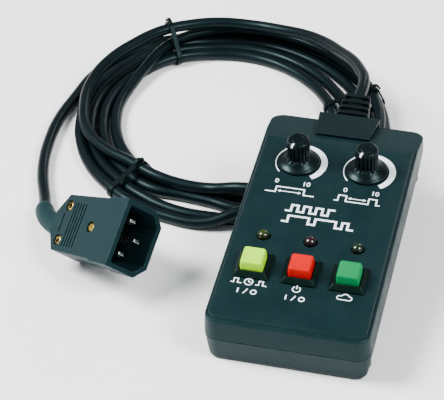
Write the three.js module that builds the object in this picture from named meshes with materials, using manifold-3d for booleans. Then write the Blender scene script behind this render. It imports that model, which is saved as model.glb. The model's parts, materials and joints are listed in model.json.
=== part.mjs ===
// Wired timer remote for a fog machine: a two-shell hand box with two dials, three lamps and
// three push buttons, a hanger clip, and a coiled lead that ends in a rewirable appliance plug.
// Millimetres, +Z up, resting on z = 0. The box is tilted, because its cable end lies on the coil.
import * as THREE from 'three';
import { mergeVertices } from 'three/addons/utils/BufferGeometryUtils.js';
import Module from 'manifold-3d';

// ---- driving dimensions ------------------------------------------------------------------
const GAP = 0.3;                     // seating gap between neighbours
const RUNNING_GAP = 0.08;            // radial clearance of what turns or slides in a bore
const BOX_WIDTH = 66;                // at the parting line
const BOX_LENGTH = 128;
const BOX_HEIGHT = 24;               // underside to the deck
const PARTING_HEIGHT = 12.8;
const CORNER_RADIUS = 6;
const WALL = 2;
const BAND_START = 105.8;            // where the deck turns down towards the cable end
const BAND_DROP = 7;                 // how far it has dropped at the end wall
const TILT_DEG = 9;                  // the cable end is raised by the coil under it
const BOX_ORIGIN = [0, -70.53, -0.469]; // near bottom edge of the box in the part's frame

const DIAL_X = 14.2;
const DIAL_Y = 92.5;
const DIAL_HEIGHT = 12.8;            // above the deck
const SKIRT_RADIUS = 8.5;
const GRIP_RADIUS = 4.75;
const FLUTES = 18;
const SHAFT_RADIUS = 3;
const SHAFT_FOOT = 12.6;
const MIN_STOP_DEG = 246;            // where the pointer stands at the dial's zero stop

const COLUMN_X = 19;                 // pitch of the lamps and buttons
const LAMP_Y = 48;
const LAMP_RADIUS = 2.5;
const BUTTON_Y = 31;
const BUTTON_HEIGHT = 6.5;           // cap top above the deck
const CAP_SIZE = 9.2;
const BEZEL_SIZE = 14;
const BEZEL_HEIGHT = 2.2;
const STEM_RADIUS = 1.7;

const SCREW_PLACES = [[-28, 10], [28, 10], [-28, 116], [28, 116]];
const HANGER_SCREW_X = 11;
const HANGER_SCREW_Z = 5.4;
const BOARD_BOTTOM = 9;
const BOARD_TOP = 10.6;

const CORD_RADIUS = 2.6;
const COIL_CENTRE = [-61.8, 89.6];
const COIL_TURN_DEG = 18.2;          // the coil is a little longer than it is wide
const COIL_HALF_WIDTH = 59.4;        // to the middle of the bundle
const COIL_HALF_LENGTH = 70;
const BUNDLE_WIDTH = 23.6;
const BUNDLE_SPREAD = 0.18;          // the turns lie looser towards the box, by this share
const SPREAD_TOWARDS_DEG = -42;
const BUNDLE_HEIGHT = 10.4;
const BUNDLE_BASE = 2;               // the ties under it hold it off the surface
const BUNDLE_RISE = 5;               // the turns are piled higher where the box rests on them
const RISE_AT_DEG = -64;
const RISE_REACH_DEG = 46;
const TIE_ANGLES_DEG = [112, 219, 8];
const TIE_THICKNESS = 1.4;
const TIE_WIDTH = 3.4;

const PLUG_WIDTH = 28.5;             // outer shroud of a C14 connector
const PLUG_DEPTH = 20.5;
const PLUG_CHAMFER = 5.2;
const PLUG_LENGTH = 44.4;
const PLUG_SHROUD = 12;              // length of the wider front part
const PLUG_WALL = 2;
const SHROUD_DEPTH = 16.5;
const PLUG_SCREWS = [[-37.2, 7.5], [-37.2, -7.5], [-18.6, 0]];
const PLUG_SCREW_LENGTHS = [12.5, 12.5, 7.6];
const PIN_PLACES = [[-7, 1.8], [0, -2.2], [7, 1.8]];
const PIN_NAMES = ['live', 'earth', 'neutral'];
const PLUG_ORIGIN = [-69, -36.4, 26.45]; // middle of the mouth
const PLUG_YAW_DEG = -32.3;          // the plug leans on its rear edge, held up by the stiff lead
const PLUG_PITCH_DEG = 21.2;
const PLUG_ROLL_DEG = 45;

// hand-chosen points that the two free ends of the lead run through
const BOX_LEAD_ROUTE = [
  [0, 73.4, 35.3], [0.4, 81.5, 36.1], [-0.4, 90, 36], [-3.8, 99.5, 34.5], [-9.3, 110.8, 32],
  [-17, 122.4, 28.5], [-27.6, 136.8, 24], [-37.7, 146.5, 20.5], [-51.8, 154, 17.2],
  [-65.3, 157.5, 15.6], [-82, 156.6, 15.4],
];
const PLUG_LEAD_ROUTE = [
  [-122, 5.5, 4.3], [-124.2, 12.5, 3.3], [-127.1, 20, 2.8], [-130.4, 28.5, 2.7], [-134, 41, 2.7],
  [-136.9, 58.5, 2.7], [-137.9, 76, 2.7], [-137.2, 89, 2.7], [-135.9, 96, 2.7],
];

// ---- general helpers ---------------------------------------------------------------------
const wasm = await Module();
wasm.setup();

const BLACK = 0x1c1f20;

/** Turns a three geometry into a manifold solid. */
function solidOf(geometry) {
  const bare = geometry.index ? geometry.toNonIndexed() : geometry.clone();
  bare.deleteAttribute('normal');
  bare.deleteAttribute('uv');
  const merged = mergeVertices(bare, 1e-4);
  const vertProperties = new Float32Array(merged.attributes.position.array);
  const triVerts = new Uint32Array(merged.index.array);
  return new wasm.Manifold(new wasm.Mesh({ numProp: 3, vertProperties, triVerts }));
}

/** Turns a manifold solid back into a three geometry. */
function geometryOf(solid) {
  const mesh = solid.getMesh();
  const geometry = new THREE.BufferGeometry();
  geometry.setAttribute('position', new THREE.BufferAttribute(new Float32Array(mesh.vertProperties), 3));
  geometry.setIndex(new THREE.BufferAttribute(new Uint32Array(mesh.triVerts), 1));
  return geometry;
}

/** Adds every geometry to the first. */
function join(first, ...others) {
  return geometryOf(others.reduce((sum, each) => sum.add(solidOf(each)), solidOf(first)));
}

/** Takes every tool away from the first geometry. */
function cut(first, ...tools) {
  return geometryOf(tools.reduce((rest, each) => rest.subtract(solidOf(each)), solidOf(first)));
}

/** Keeps what two geometries share. */
function common(first, second) {
  return geometryOf(solidOf(first).intersect(solidOf(second)));
}

/** A box given by its low and high corners. */
function block(x0, y0, z0, x1, y1, z1) {
  const geometry = new THREE.BoxGeometry(x1 - x0, y1 - y0, z1 - z0);
  return geometry.translate((x0 + x1) / 2, (y0 + y1) / 2, (z0 + z1) / 2);
}

/** An upright cylinder between two heights. */
function post(x, y, z0, z1, radius, segments = 24) {
  const geometry = new THREE.CylinderGeometry(radius, radius, z1 - z0, segments);
  return geometry.rotateX(Math.PI / 2).translate(x, y, (z0 + z1) / 2);
}

/** A cylinder that lies along the box between two stations. */
function rod(x, z, y0, y1, radius, segments = 12) {
  return new THREE.CylinderGeometry(radius, radius, y1 - y0, segments).translate(x, (y0 + y1) / 2, z);
}

/** A solid of revolution about an upright axis, from [radius, height] pairs that start and end on it. */
function turned(profile, segments = 32) {
  const points = profile.map(([radius, height]) => new THREE.Vector2(radius, height));
  return new THREE.LatheGeometry(points, segments).rotateX(Math.PI / 2);
}

/** An outline of [x, y] points pushed up from z0 to z1. */
function prism(outline, z0, z1) {
  const shape = new THREE.Shape(outline.map(([x, y]) => new THREE.Vector2(x, y)));
  return new THREE.ExtrudeGeometry(shape, { depth: z1 - z0, bevelEnabled: false }).translate(0, 0, z0);
}

/** Points round a rectangle with rounded corners. */
function roundedRing(x0, y0, x1, y1, radius, steps = 6) {
  const centres = [[x1 - radius, y1 - radius], [x0 + radius, y1 - radius],
    [x0 + radius, y0 + radius], [x1 - radius, y0 + radius]];
  const points = [];
  centres.forEach(([cx, cy], corner) => {
    for (let i = 0; i <= steps; i += 1) {
      const angle = (corner + i / steps) * Math.PI / 2;
      points.push([cx + radius * Math.cos(angle), cy + radius * Math.sin(angle)]);
    }
  });
  return points;
}

/** Skins a stack of closed rings of equal count, each a list of [x, y, z], into one closed body. */
function skinned(rings) {
  const count = rings[0].length;
  const positions = rings.flat(2);
  const index = [];
  for (let r = 0; r < rings.length - 1; r += 1) {
    for (let i = 0; i < count; i += 1) {
      const a = r * count + i;
      const b = r * count + (i + 1) % count;
      index.push(a, b, b + count, a, b + count, a + count);
    }
  }
  for (const last of [false, true]) {
    const ring = last ? rings[rings.length - 1] : rings[0];
    const base = last ? (rings.length - 1) * count : 0;
    const centre = positions.length / 3;
    const sum = ring.reduce((total, p) => total.map((v, k) => v + p[k] / count), [0, 0, 0]);
    positions.push(...sum);
    for (let i = 0; i < count; i += 1) {
      const a = base + i;
      const b = base + (i + 1) % count;
      index.push(...(last ? [centre, a, b] : [centre, b, a]));
    }
  }
  const geometry = new THREE.BufferGeometry();
  geometry.setAttribute('position', new THREE.Float32BufferAttribute(positions, 3));
  geometry.setIndex(index);
  return geometry;
}

/** The box outline drawn in by each level's inset: levels are [height, inset]. */
function caseStack(levels) {
  return skinned(levels.map(([height, inset]) => {
    const ring = roundedRing(-BOX_WIDTH / 2 + inset, inset, BOX_WIDTH / 2 - inset, BOX_LENGTH - inset,
      Math.max(CORNER_RADIUS - inset, 1.2));
    return ring.map(([x, y]) => [x, y, height]);
  }));
}

/** A round tube whose middle runs smoothly through the points. */
function tube(points, radius, sides, steps) {
  const outline = new THREE.Shape();
  for (let i = 0; i < sides; i += 1) {
    const angle = i * 2 * Math.PI / sides;
    const [x, y] = [radius * Math.cos(angle), radius * Math.sin(angle)];
    if (i === 0) outline.moveTo(x, y);
    else outline.lineTo(x, y);
  }
  const curve = new THREE.CatmullRomCurve3(points.map((p) => new THREE.Vector3(...p)), false, 'centripetal');
  return new THREE.ExtrudeGeometry(outline, { steps, extrudePath: curve, bevelEnabled: false });
}

/** A group inside another, at a place and turned by degrees about its own X, then Y, then Z axis. */
function nested(parent, [x, y, z], turn = [0, 0, 0]) {
  const group = new THREE.Group();
  group.position.set(x, y, z);
  group.rotation.set(...turn.map(THREE.MathUtils.degToRad), 'ZYX');
  parent.add(group);
  group.updateMatrixWorld(true);
  return group;
}

const part = new THREE.Group();
const box = nested(part, BOX_ORIGIN, [TILT_DEG, 0, 0]);
const coil = nested(part, [...COIL_CENTRE, 0], [0, 0, COIL_TURN_DEG]);
const plug = nested(part, PLUG_ORIGIN, [PLUG_ROLL_DEG, -PLUG_PITCH_DEG, PLUG_YAW_DEG]);

/** Adds one named piece to a group, with its own finish. */
function add(name, geometry, parent, color = BLACK, metalness = 0, roughness = 0.6) {
  geometry.deleteAttribute('normal');
  geometry.computeVertexNormals();
  const mesh = new THREE.Mesh(geometry, new THREE.MeshStandardMaterial({ color, metalness, roughness }));
  mesh.name = name;
  parent.add(mesh);
}

/** A pan-head screw standing head down on z = 0 with its shank upwards; the drive is a cross. */
function screw(headRadius, headHeight, shankRadius, length) {
  const body = turned([[0, 0], [headRadius * 0.7, 0], [headRadius, headHeight * 0.4],
    [headRadius, headHeight], [shankRadius, headHeight], [shankRadius, length], [0, length]], 14);
  const slot = headRadius * 0.6;
  return cut(body, block(-slot, -0.35, -1, slot, 0.35, headHeight * 0.5),
    block(-0.35, -slot, -1, 0.35, slot, headHeight * 0.5));
}

// ---- box shells --------------------------------------------------------------------------
/** Everything above the sloping band, lowered by drop. */
function bandWedge(drop) {
  const slope = BAND_DROP / (BOX_LENGTH - BAND_START);
  const end = BOX_LENGTH + 4;
  const outline = [[BAND_START, BOX_HEIGHT - drop], [end, BOX_HEIGHT - drop - slope * (end - BAND_START)],
    [end, BOX_HEIGHT + 9], [BAND_START, BOX_HEIGHT + 9]];
  return prism(outline, -40, 40).rotateY(Math.PI / 2).rotateX(Math.PI / 2);
}

/** The opening in the end wall that the strain relief's neck sits in. */
function reliefNotch() {
  return block(-4.9, BOX_LENGTH - 5, PARTING_HEIGHT - 3.9, 4.9, BOX_LENGTH + 5, PARTING_HEIGHT + 3.9);
}

function upperShell() {
  const outside = caseStack([[PARTING_HEIGHT + GAP / 2, 0.1], [21.6, 0.5], [22.4, 0.8], [22.8, 1.3],
    [22.8, 1.9], [23.4, 2.0], [23.8, 2.3], [BOX_HEIGHT, 2.9]]);
  const inside = caseStack([[PARTING_HEIGHT - 1, WALL + 0.1], [21, WALL + 0.6],
    [BOX_HEIGHT - WALL, WALL + 1.6]]);
  let shell = cut(outside, bandWedge(0));
  shell = cut(shell, cut(inside, bandWedge(WALL)));
  const bosses = SCREW_PLACES.map(([x, y]) => post(x, y, PARTING_HEIGHT + GAP, y > 60 ? 19.6 : 23, 3.3, 20));
  shell = join(shell, ...bosses);
  const holes = SCREW_PLACES.map(([x, y]) => post(x, y, 10, 17.8, 1.7, 14));
  for (const side of [-1, 1]) holes.push(post(side * DIAL_X, DIAL_Y, 20, 26, SHAFT_RADIUS + 0.5));
  for (const column of [-1, 0, 1]) {
    holes.push(post(column * COLUMN_X, LAMP_Y, 20, 26, LAMP_RADIUS + GAP, 20));
    holes.push(block(column * COLUMN_X - 6, BUTTON_Y - 6, 20, column * COLUMN_X + 6, BUTTON_Y + 6, 26));
  }
  return cut(shell, ...holes, reliefNotch());
}

function lowerShell() {
  const outside = caseStack([[0, 3], [0.4, 2.1], [1.2, 1.5], [2.2, 1.3], [PARTING_HEIGHT - GAP / 2, 0.1]]);
  const inside = caseStack([[WALL, WALL + 2], [3, WALL + 1.3], [PARTING_HEIGHT + 1, WALL + 0.1]]);
  let shell = cut(outside, inside);
  const posts = SCREW_PLACES.map(([x, y]) => post(x, y, 1, PARTING_HEIGHT - GAP, 4, 20));
  const boardPillars = [[-24, 21], [24, 21], [-24, 105], [24, 105]]
    .map(([x, y]) => post(x, y, 1, BOARD_BOTTOM - GAP, 2.5, 14));
  const hangerBosses = [-1, 1].map((side) => block(side * HANGER_SCREW_X - 3, BOX_LENGTH - 9, 1,
    side * HANGER_SCREW_X + 3, BOX_LENGTH - 2, HANGER_SCREW_Z + 3.2));
  shell = join(shell, ...posts, ...boardPillars, ...hangerBosses);
  const holes = SCREW_PLACES.map(([x, y]) => post(x, y, -1, PARTING_HEIGHT + 1, 1.7, 14));
  SCREW_PLACES.forEach(([x, y]) => holes.push(post(x, y, -1, 2.6, 3.1, 20)));
  for (const side of [-1, 1]) {
    holes.push(rod(side * HANGER_SCREW_X, HANGER_SCREW_Z, BOX_LENGTH - 7.5, BOX_LENGTH + 2, 1.3));
  }
  return cut(shell, ...holes, reliefNotch());
}

// ---- dials -------------------------------------------------------------------------------
function dialKnob() {
  const skirt = turned([[0, 0.5], [SKIRT_RADIUS, 0.5], [SKIRT_RADIUS, 1.1], [7, 1.9], [5.6, 2.9],
    [GRIP_RADIUS, 4], [0, 4]], 40);
  const outline = [];
  for (let i = 0; i < FLUTES * 3; i += 1) {
    const angle = i * 2 * Math.PI / (FLUTES * 3);
    const radius = i % 3 === 0 ? GRIP_RADIUS - 0.45 : GRIP_RADIUS;
    outline.push([radius * Math.cos(angle), radius * Math.sin(angle)]);
  }
  const grip = prism(outline, 3, DIAL_HEIGHT);
  const crown = turned([[0, 0], [GRIP_RADIUS + 1, 0], [GRIP_RADIUS + 1, DIAL_HEIGHT - 1.4],
    [GRIP_RADIUS - 0.1, DIAL_HEIGHT - 1.2], [GRIP_RADIUS - 0.8, DIAL_HEIGHT], [0, DIAL_HEIGHT]], 32);
  const bore = post(0, 0, -1, 11, SHAFT_RADIUS + GAP, 20);
  const angle = MIN_STOP_DEG * Math.PI / 180;
  const groove = block(1.9, -0.75, DIAL_HEIGHT - 0.8, 8, 0.75, DIAL_HEIGHT + 1).rotateZ(angle);
  return cut(join(skirt, common(grip, crown)), bore, groove);
}

function dialPointer() {
  const angle = MIN_STOP_DEG * Math.PI / 180;
  const bar = block(2.2, -0.45, DIAL_HEIGHT - 0.5, GRIP_RADIUS - 0.6, 0.45, DIAL_HEIGHT - 0.02);
  return bar.rotateZ(angle);
}

/** A potentiometer that stands on the board; its collar guides the shaft up to the deck. */
function potentiometer() {
  const low = BOARD_TOP + GAP;
  const body = turned([[0, low], [8, low], [8, 17.6], [4.6, 17.6], [4.6, 21.6], [0, 21.6]], 28);
  const legs = [-1, 0, 1].map((k) => block(k * 5 - 0.6, -9.6, low, k * 5 + 0.6, -5, low + 1.2));
  return cut(join(body, ...legs), post(0, 0, SHAFT_FOOT - GAP, 28, SHAFT_RADIUS + RUNNING_GAP, 24));
}

function dialShaft() {
  const top = BOX_HEIGHT + 10.6;
  return turned([[0, SHAFT_FOOT], [SHAFT_RADIUS, SHAFT_FOOT], [SHAFT_RADIUS, top], [0, top]], 24);
}

function addDial(side, name) {
  const place = nested(box, [side * DIAL_X, DIAL_Y, 0]);
  const onDeck = nested(place, [0, 0, BOX_HEIGHT]);
  add(`${name}_knob`, dialKnob(), onDeck, 0x121516);
  add(`${name}_pointer`, dialPointer(), onDeck, 0xf2f4f4);
  add(`${name}_shaft`, dialShaft(), place, 0xb9bcbe, 0.9, 0.35);
  add(`${name}_potentiometer`, potentiometer(), place, 0x9da3a6, 0.8, 0.4);
}

// ---- lamps and buttons -------------------------------------------------------------------
function lamp() {
  const [shoulder, top] = [BOX_HEIGHT + 0.4, BOX_HEIGHT + 2.6];
  const profile = [[0, 17.4], [2.9, 17.4], [2.9, 18.4], [LAMP_RADIUS, 18.4], [LAMP_RADIUS, shoulder]];
  for (let i = 1; i < 5; i += 1) {
    const angle = i * Math.PI / 10;
    profile.push([LAMP_RADIUS * Math.cos(angle), shoulder + (top - shoulder) * Math.sin(angle)]);
  }
  profile.push([0, top]);
  const leads = [-1, 1].map((k) => block(k * 1.27 - 0.25, -0.25, BOARD_TOP + GAP,
    k * 1.27 + 0.25, 0.25, 18));
  return join(turned(profile, 20), ...leads);
}

function buttonBezel() {
  const half = BEZEL_SIZE / 2;
  const low = BOX_HEIGHT + GAP;
  const levels = [[low, half], [low + 0.6, half], [low + BEZEL_HEIGHT, half - 1.5]];
  const frustum = skinned(levels.map(([z, h]) => (
    roundedRing(-h, -h, h, h, 0.5, 2).map(([x, y]) => [x, y, z]))));
  const sleeve = block(-5.65, -5.65, 20.5, 5.65, 5.65, low + 1);
  const hole = CAP_SIZE / 2 + 0.35;
  return cut(join(frustum, sleeve), block(-hole, -hole, 18, hole, hole, 32));
}

function buttonCap() {
  const half = CAP_SIZE / 2;
  const top = BOX_HEIGHT + BUTTON_HEIGHT;
  const levels = [[20.2, half], [top - 0.8, half], [top - 0.25, half - 0.2], [top, half - 0.75]];
  const cap = skinned(levels.map(([z, h]) => roundedRing(-h, -h, h, h, 0.9, 3).map(([x, y]) => [x, y, z])));
  return join(cap, post(0, 0, 15.4, 21, STEM_RADIUS, 16));
}

function buttonSwitch() {
  const low = BOARD_TOP + GAP;
  return cut(block(-6, -6, low, 6, 6, 17), post(0, 0, low + 1, 18, STEM_RADIUS + RUNNING_GAP, 16));
}

function addButtonColumn(column, name, capColor, lampColor) {
  const lampPlace = nested(box, [column * COLUMN_X, LAMP_Y, 0]);
  const buttonPlace = nested(box, [column * COLUMN_X, BUTTON_Y, 0]);
  add(`${name}_lamp`, lamp(), lampPlace, lampColor, 0, 0.2);
  add(`${name}_button_bezel`, buttonBezel(), buttonPlace, 0x15191a);
  add(`${name}_button_cap`, buttonCap(), buttonPlace, capColor);
  add(`${name}_button_switch`, buttonSwitch(), buttonPlace, 0x222526);
}

// ---- inside the box ----------------------------------------------------------------------
function addInside() {
  const top = BOARD_TOP;
  add('circuit_board', block(-28.5, 16, BOARD_BOTTOM, 28.5, 110, top), box, 0x1f6b3a);
  const chip = block(-4.8, 62, top + GAP, 4.8, 68.4, top + 3.6);
  add('timer_chip', cut(chip, post(-4.8, 65.2, top + 3, top + 5, 0.9, 12)), box, 0x1a1a1a);
  const terminal = cut(block(-7.6, 102, top + GAP, 7.6, 109, top + 8),
    ...[-1, 0, 1].map((k) => post(k * 5, 105.5, top + 6, top + 9, 1.6, 12)));
  add('lead_terminal', terminal, box, 0x2a6f4a);
  add('lead_tail', rod(0, PARTING_HEIGHT, 111, 123.4 - GAP, CORD_RADIUS), box);
  SCREW_PLACES.forEach(([x, y], index) => {
    add(`case_screw_${index + 1}`, screw(2.8, 1.8, 1.4, 16.8), nested(box, [x, y, 0.5]), 0x8f9497, 0.9, 0.4);
  });
}

// ---- cable end ---------------------------------------------------------------------------
/** The strain relief: inner flange, neck through the wall, outer flange, then ribs on a slim core. */
function strainRelief() {
  const mid = PARTING_HEIGHT;
  const slab = (y0, y1, halfWidth, halfHeight) => {
    const ring = roundedRing(-halfWidth, -halfHeight, halfWidth, halfHeight, 1.6, 3);
    return prism(ring, -y1, -y0).rotateX(Math.PI / 2).translate(0, 0, mid);
  };
  const core = slab(123.4, 147.2, 4.4, 3.4);
  const parts = [slab(123.4, 125.1, 6.2, 2.8), slab(130.1, 132, 7.2, 5)];
  for (let i = 0; i < 4; i += 1) {
    const start = 133.6 + i * 3.9;
    parts.push(slab(start, start + 1.8, 7 - i * 0.4, 4.8 - i * 0.2));
  }
  return join(core, ...parts);
}

/** The hanger clip: a flared lip standing over the band and a leg screwed to the end wall. */
function hangerClip() {
  const lipNear = [112.6, 22.2];
  const bend = [BOX_LENGTH + GAP, 19.4];
  const slope = (lipNear[1] - bend[1]) / (bend[0] - lipNear[0]);
  const side = [[lipNear[0], lipNear[1]], [bend[0], bend[1]], [bend[0], 2.6], [bend[0] + 1, 2.6],
    [bend[0] + 1, bend[1] + 1 - slope], [lipNear[0], lipNear[1] + 1]];
  const sheet = prism(side, -13, 13).rotateY(Math.PI / 2).rotateX(Math.PI / 2);
  const flare = prism([[-11.4, 112], [11.4, 112], [13, 128], [13, 131], [-13, 131], [-13, 128]], 0, 30);
  const screwHoles = [-1, 1].map((side) => rod(side * HANGER_SCREW_X, HANGER_SCREW_Z, 126, 133, 1.5));
  const neckHole = block(-4.9, 126, PARTING_HEIGHT - 3.9, 4.9, 132, PARTING_HEIGHT + 3.9);
  return cut(common(sheet, flare), neckHole, ...screwHoles);
}

function addCableEnd() {
  add('strain_relief', strainRelief(), box);
  add('hanger_clip', hangerClip(), box, 0x1b2124, 0.6, 0.45);
  [-1, 1].forEach((side, index) => {
    const place = nested(box, [side * HANGER_SCREW_X, BOX_LENGTH + 3.2, HANGER_SCREW_Z], [90, 0, 0]);
    add(`hanger_screw_${index + 1}`, screw(2.2, 1.3, 1, 8), place, 0x8f9497, 0.9, 0.4);
  });
}

// ---- coil, ties and free lead ------------------------------------------------------------
/** Half the bundle's width at an angle round the coil. */
function bundleHalfWidth(angle) {
  const lean = Math.cos(angle - SPREAD_TOWARDS_DEG * Math.PI / 180);
  return BUNDLE_WIDTH / 2 * (1 + BUNDLE_SPREAD * lean);
}

/** How far the bundle's top is raised at an angle round the coil, under the box. */
function bundleRise(angle) {
  const away = THREE.MathUtils.euclideanModulo(angle * 180 / Math.PI - RISE_AT_DEG + 180, 360) - 180;
  return BUNDLE_RISE * (1 - THREE.MathUtils.smoothstep(Math.abs(away), 0, RISE_REACH_DEG));
}

/** The space that the box takes, a little larger all round, in the coil's frame. */
function boxRoom() {
  const room = block(-BOX_WIDTH / 2 - GAP, -GAP, -GAP, BOX_WIDTH / 2 + GAP, BOX_LENGTH + 2, BOX_HEIGHT);
  return room.applyMatrix4(box.matrixWorld).applyMatrix4(coil.matrixWorld.clone().invert());
}

/** The coil's outer shape: one oval ring with a rounded section, flattened where the box lies on it. */
function coilRing() {
  const halfHeight = BUNDLE_HEIGHT / 2;
  const mid = BUNDLE_BASE + halfHeight;
  const section = roundedRing(-halfHeight, -halfHeight, halfHeight, halfHeight, 4.6, 3);
  const profile = section.map(([r, z]) => new THREE.Vector2(COIL_HALF_LENGTH + r, mid + z));
  profile.push(profile[0].clone());
  const ring = new THREE.LatheGeometry(profile, 56).rotateX(Math.PI / 2);
  const position = ring.attributes.position;
  for (let i = 0; i < position.count; i += 1) {
    const [x, y] = [position.getX(i), position.getY(i)];
    const reach = Math.hypot(x, y);
    const angle = Math.atan2(y, x);
    const out = (reach - COIL_HALF_LENGTH) * bundleHalfWidth(angle) / halfHeight;
    const share = (position.getZ(i) - BUNDLE_BASE) / BUNDLE_HEIGHT;
    position.setXYZ(i, (x / reach) * (COIL_HALF_WIDTH + out), (y / reach) * (COIL_HALF_LENGTH + out),
      position.getZ(i) + bundleRise(angle) * share);
  }
  return cut(ring, boxRoom());
}

/** A tie: a flat band all round the bundle, with a short twisted tail on top. */
function coilTie(angleDeg) {
  const angle = angleDeg * Math.PI / 180;
  const [halfWidth, halfHeight] = [bundleHalfWidth(angle) + 2 * GAP, BUNDLE_HEIGHT / 2 + GAP];
  const outer = roundedRing(-halfWidth - TIE_THICKNESS, -halfHeight - TIE_THICKNESS,
    halfWidth + TIE_THICKNESS, halfHeight + TIE_THICKNESS, 5.6, 4);
  const inner = roundedRing(-halfWidth, -halfHeight, halfWidth, halfHeight, 4.4, 4);
  const band = cut(prism(outer, -TIE_WIDTH / 2, TIE_WIDTH / 2), prism(inner, -TIE_WIDTH, TIE_WIDTH));
  band.rotateX(Math.PI / 2);
  const tail = block(3, -1.1, halfHeight + 0.5, 9.5, 1.1, halfHeight + TIE_THICKNESS + 1.3);
  const facing = Math.atan2(COIL_HALF_WIDTH * Math.sin(angle), COIL_HALF_LENGTH * Math.cos(angle));
  return join(band, tail).rotateZ(facing).translate(COIL_HALF_WIDTH * Math.cos(angle),
    COIL_HALF_LENGTH * Math.sin(angle), BUNDLE_BASE + BUNDLE_HEIGHT / 2);
}

function addLead() {
  add('cord_coil', coilRing(), coil);
  TIE_ANGLES_DEG.forEach((angle, index) => add(`coil_tie_${index + 1}`, coilTie(angle), coil));
  add('box_lead', tube(BOX_LEAD_ROUTE, CORD_RADIUS, 10, 26), part);
  add('plug_lead', tube(PLUG_LEAD_ROUTE, CORD_RADIUS, 10, 20), part);
}

// ---- plug --------------------------------------------------------------------------------
/** The plug's outline across its axis: a rectangle with two corners cut off on the far side. */
function plugOutline(sideInset, faceInset = sideInset) {
  const halfWidth = PLUG_WIDTH / 2 - sideInset;
  const halfDepth = PLUG_DEPTH / 2 - faceInset;
  const corner = PLUG_CHAMFER - faceInset * 0.59;
  return [[-halfWidth, halfDepth], [-halfWidth, -halfDepth + corner], [-halfWidth + corner, -halfDepth],
    [halfWidth - corner, -halfDepth], [halfWidth, -halfDepth + corner], [halfWidth, halfDepth]];
}

/** A prism of the plug's outline between two stations on its axis, which points along +X. */
function plugPrism(x0, x1, inset) {
  const geometry = prism(plugOutline(inset), x0, x1);
  const toAxis = new THREE.Matrix4().set(0, 0, 1, 0, 1, 0, 0, 0, 0, 1, 0, 0, 0, 0, 0, 1);
  return geometry.applyMatrix4(toAxis);
}

/** The plug's hollow body before it is split: shroud in front, chamber behind, rear corners cut. */
function plugBody() {
  const [rear, shoulder, side] = [-PLUG_LENGTH, -PLUG_LENGTH + 5.2, PLUG_WIDTH / 2 - 2.2];
  const plan = [[1, -20], [1, 20], [shoulder, 20], [shoulder, side], [rear, side - 7.8],
    [rear, 7.8 - side], [shoulder, -side], [shoulder, -20]];
  const stations = [[rear, 2.3, 0.7], [-PLUG_SHROUD - 1, 1.2, 0.3], [-PLUG_SHROUD, 0.5, 0.2], [0, 0, 0]];
  const outer = skinned(stations.map(([x, sides, faces]) => (
    plugOutline(sides, faces).map(([y, z]) => [x, y, z]))));
  let body = common(outer, prism(plan, -20, 20));
  body = cut(body, plugPrism(-SHROUD_DEPTH - 10, 1, PLUG_WALL));
  const chamber = cut(plugPrism(-PLUG_LENGTH + 3, -SHROUD_DEPTH - 9, 4), ...PLUG_SCREWS.slice(0, 2)
    .map(([x, y]) => block(x - 8, y - 3.4, -20, x + 3.4, y + 3.4, 20)));
  const gland = post(0, 0, -PLUG_LENGTH - 1, -PLUG_LENGTH + 5, 3.2, 16).rotateY(Math.PI / 2);
  return cut(body, chamber, gland);
}

/** The half with the wide face: grip grooves, and screw holes. */
function plugCover() {
  let half = common(plugBody(), block(-60, -30, GAP / 2, 5, 30, 30));
  const tools = [];
  const top = PLUG_DEPTH / 2;
  for (let i = 0; i < 5; i += 1) {
    tools.push(block(-33.6 + i * 1.8, -10, top - 1.2, -32.8 + i * 1.8, 9.2, top + 1));
  }
  tools.push(block(-39, -4, top - 1.4, -38.2, 4, top + 1));
  PLUG_SCREWS.forEach(([x, y]) => {
    tools.push(post(x, y, top - 2.6, top + 1, 2.4, 16));
    tools.push(post(x, y, -1, top, 1.5, 12));
  });
  half = cut(half, ...tools);
  return half;
}

function plugBase() {
  const half = common(plugBody(), block(-60, -30, -30, 5, 30, -GAP / 2));
  return cut(half, ...PLUG_SCREWS.map(([x, y]) => post(x, y, -7.4, 1, 1.5, 12)));
}

/** The block that carries the pins at the bottom of the shroud. */
function plugInsert() {
  const solid = plugPrism(-SHROUD_DEPTH - 9.7, -SHROUD_DEPTH, PLUG_WALL + GAP);
  const [x, y] = PLUG_SCREWS[2];
  const slots = PIN_PLACES.map(([py, pz]) => block(-40, py - 1 - GAP, pz - 2 - GAP,
    0, py + 1 + GAP, pz + 2 + GAP));
  return cut(solid, post(x, y, 0.8, 12, 1.5, 12), post(x, y, 7.5, 12, 2.4, 16), ...slots);
}

function plugPin(y, z, tip) {
  return skinned([[-33.6, 1, 2], [tip - 1.2, 1, 2], [tip, 0.5, 1.4]].map(([x, halfWidth, halfHeight]) => [
    [x, y - halfWidth, z - halfHeight], [x, y + halfWidth, z - halfHeight],
    [x, y + halfWidth, z + halfHeight], [x, y - halfWidth, z + halfHeight]]));
}

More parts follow.
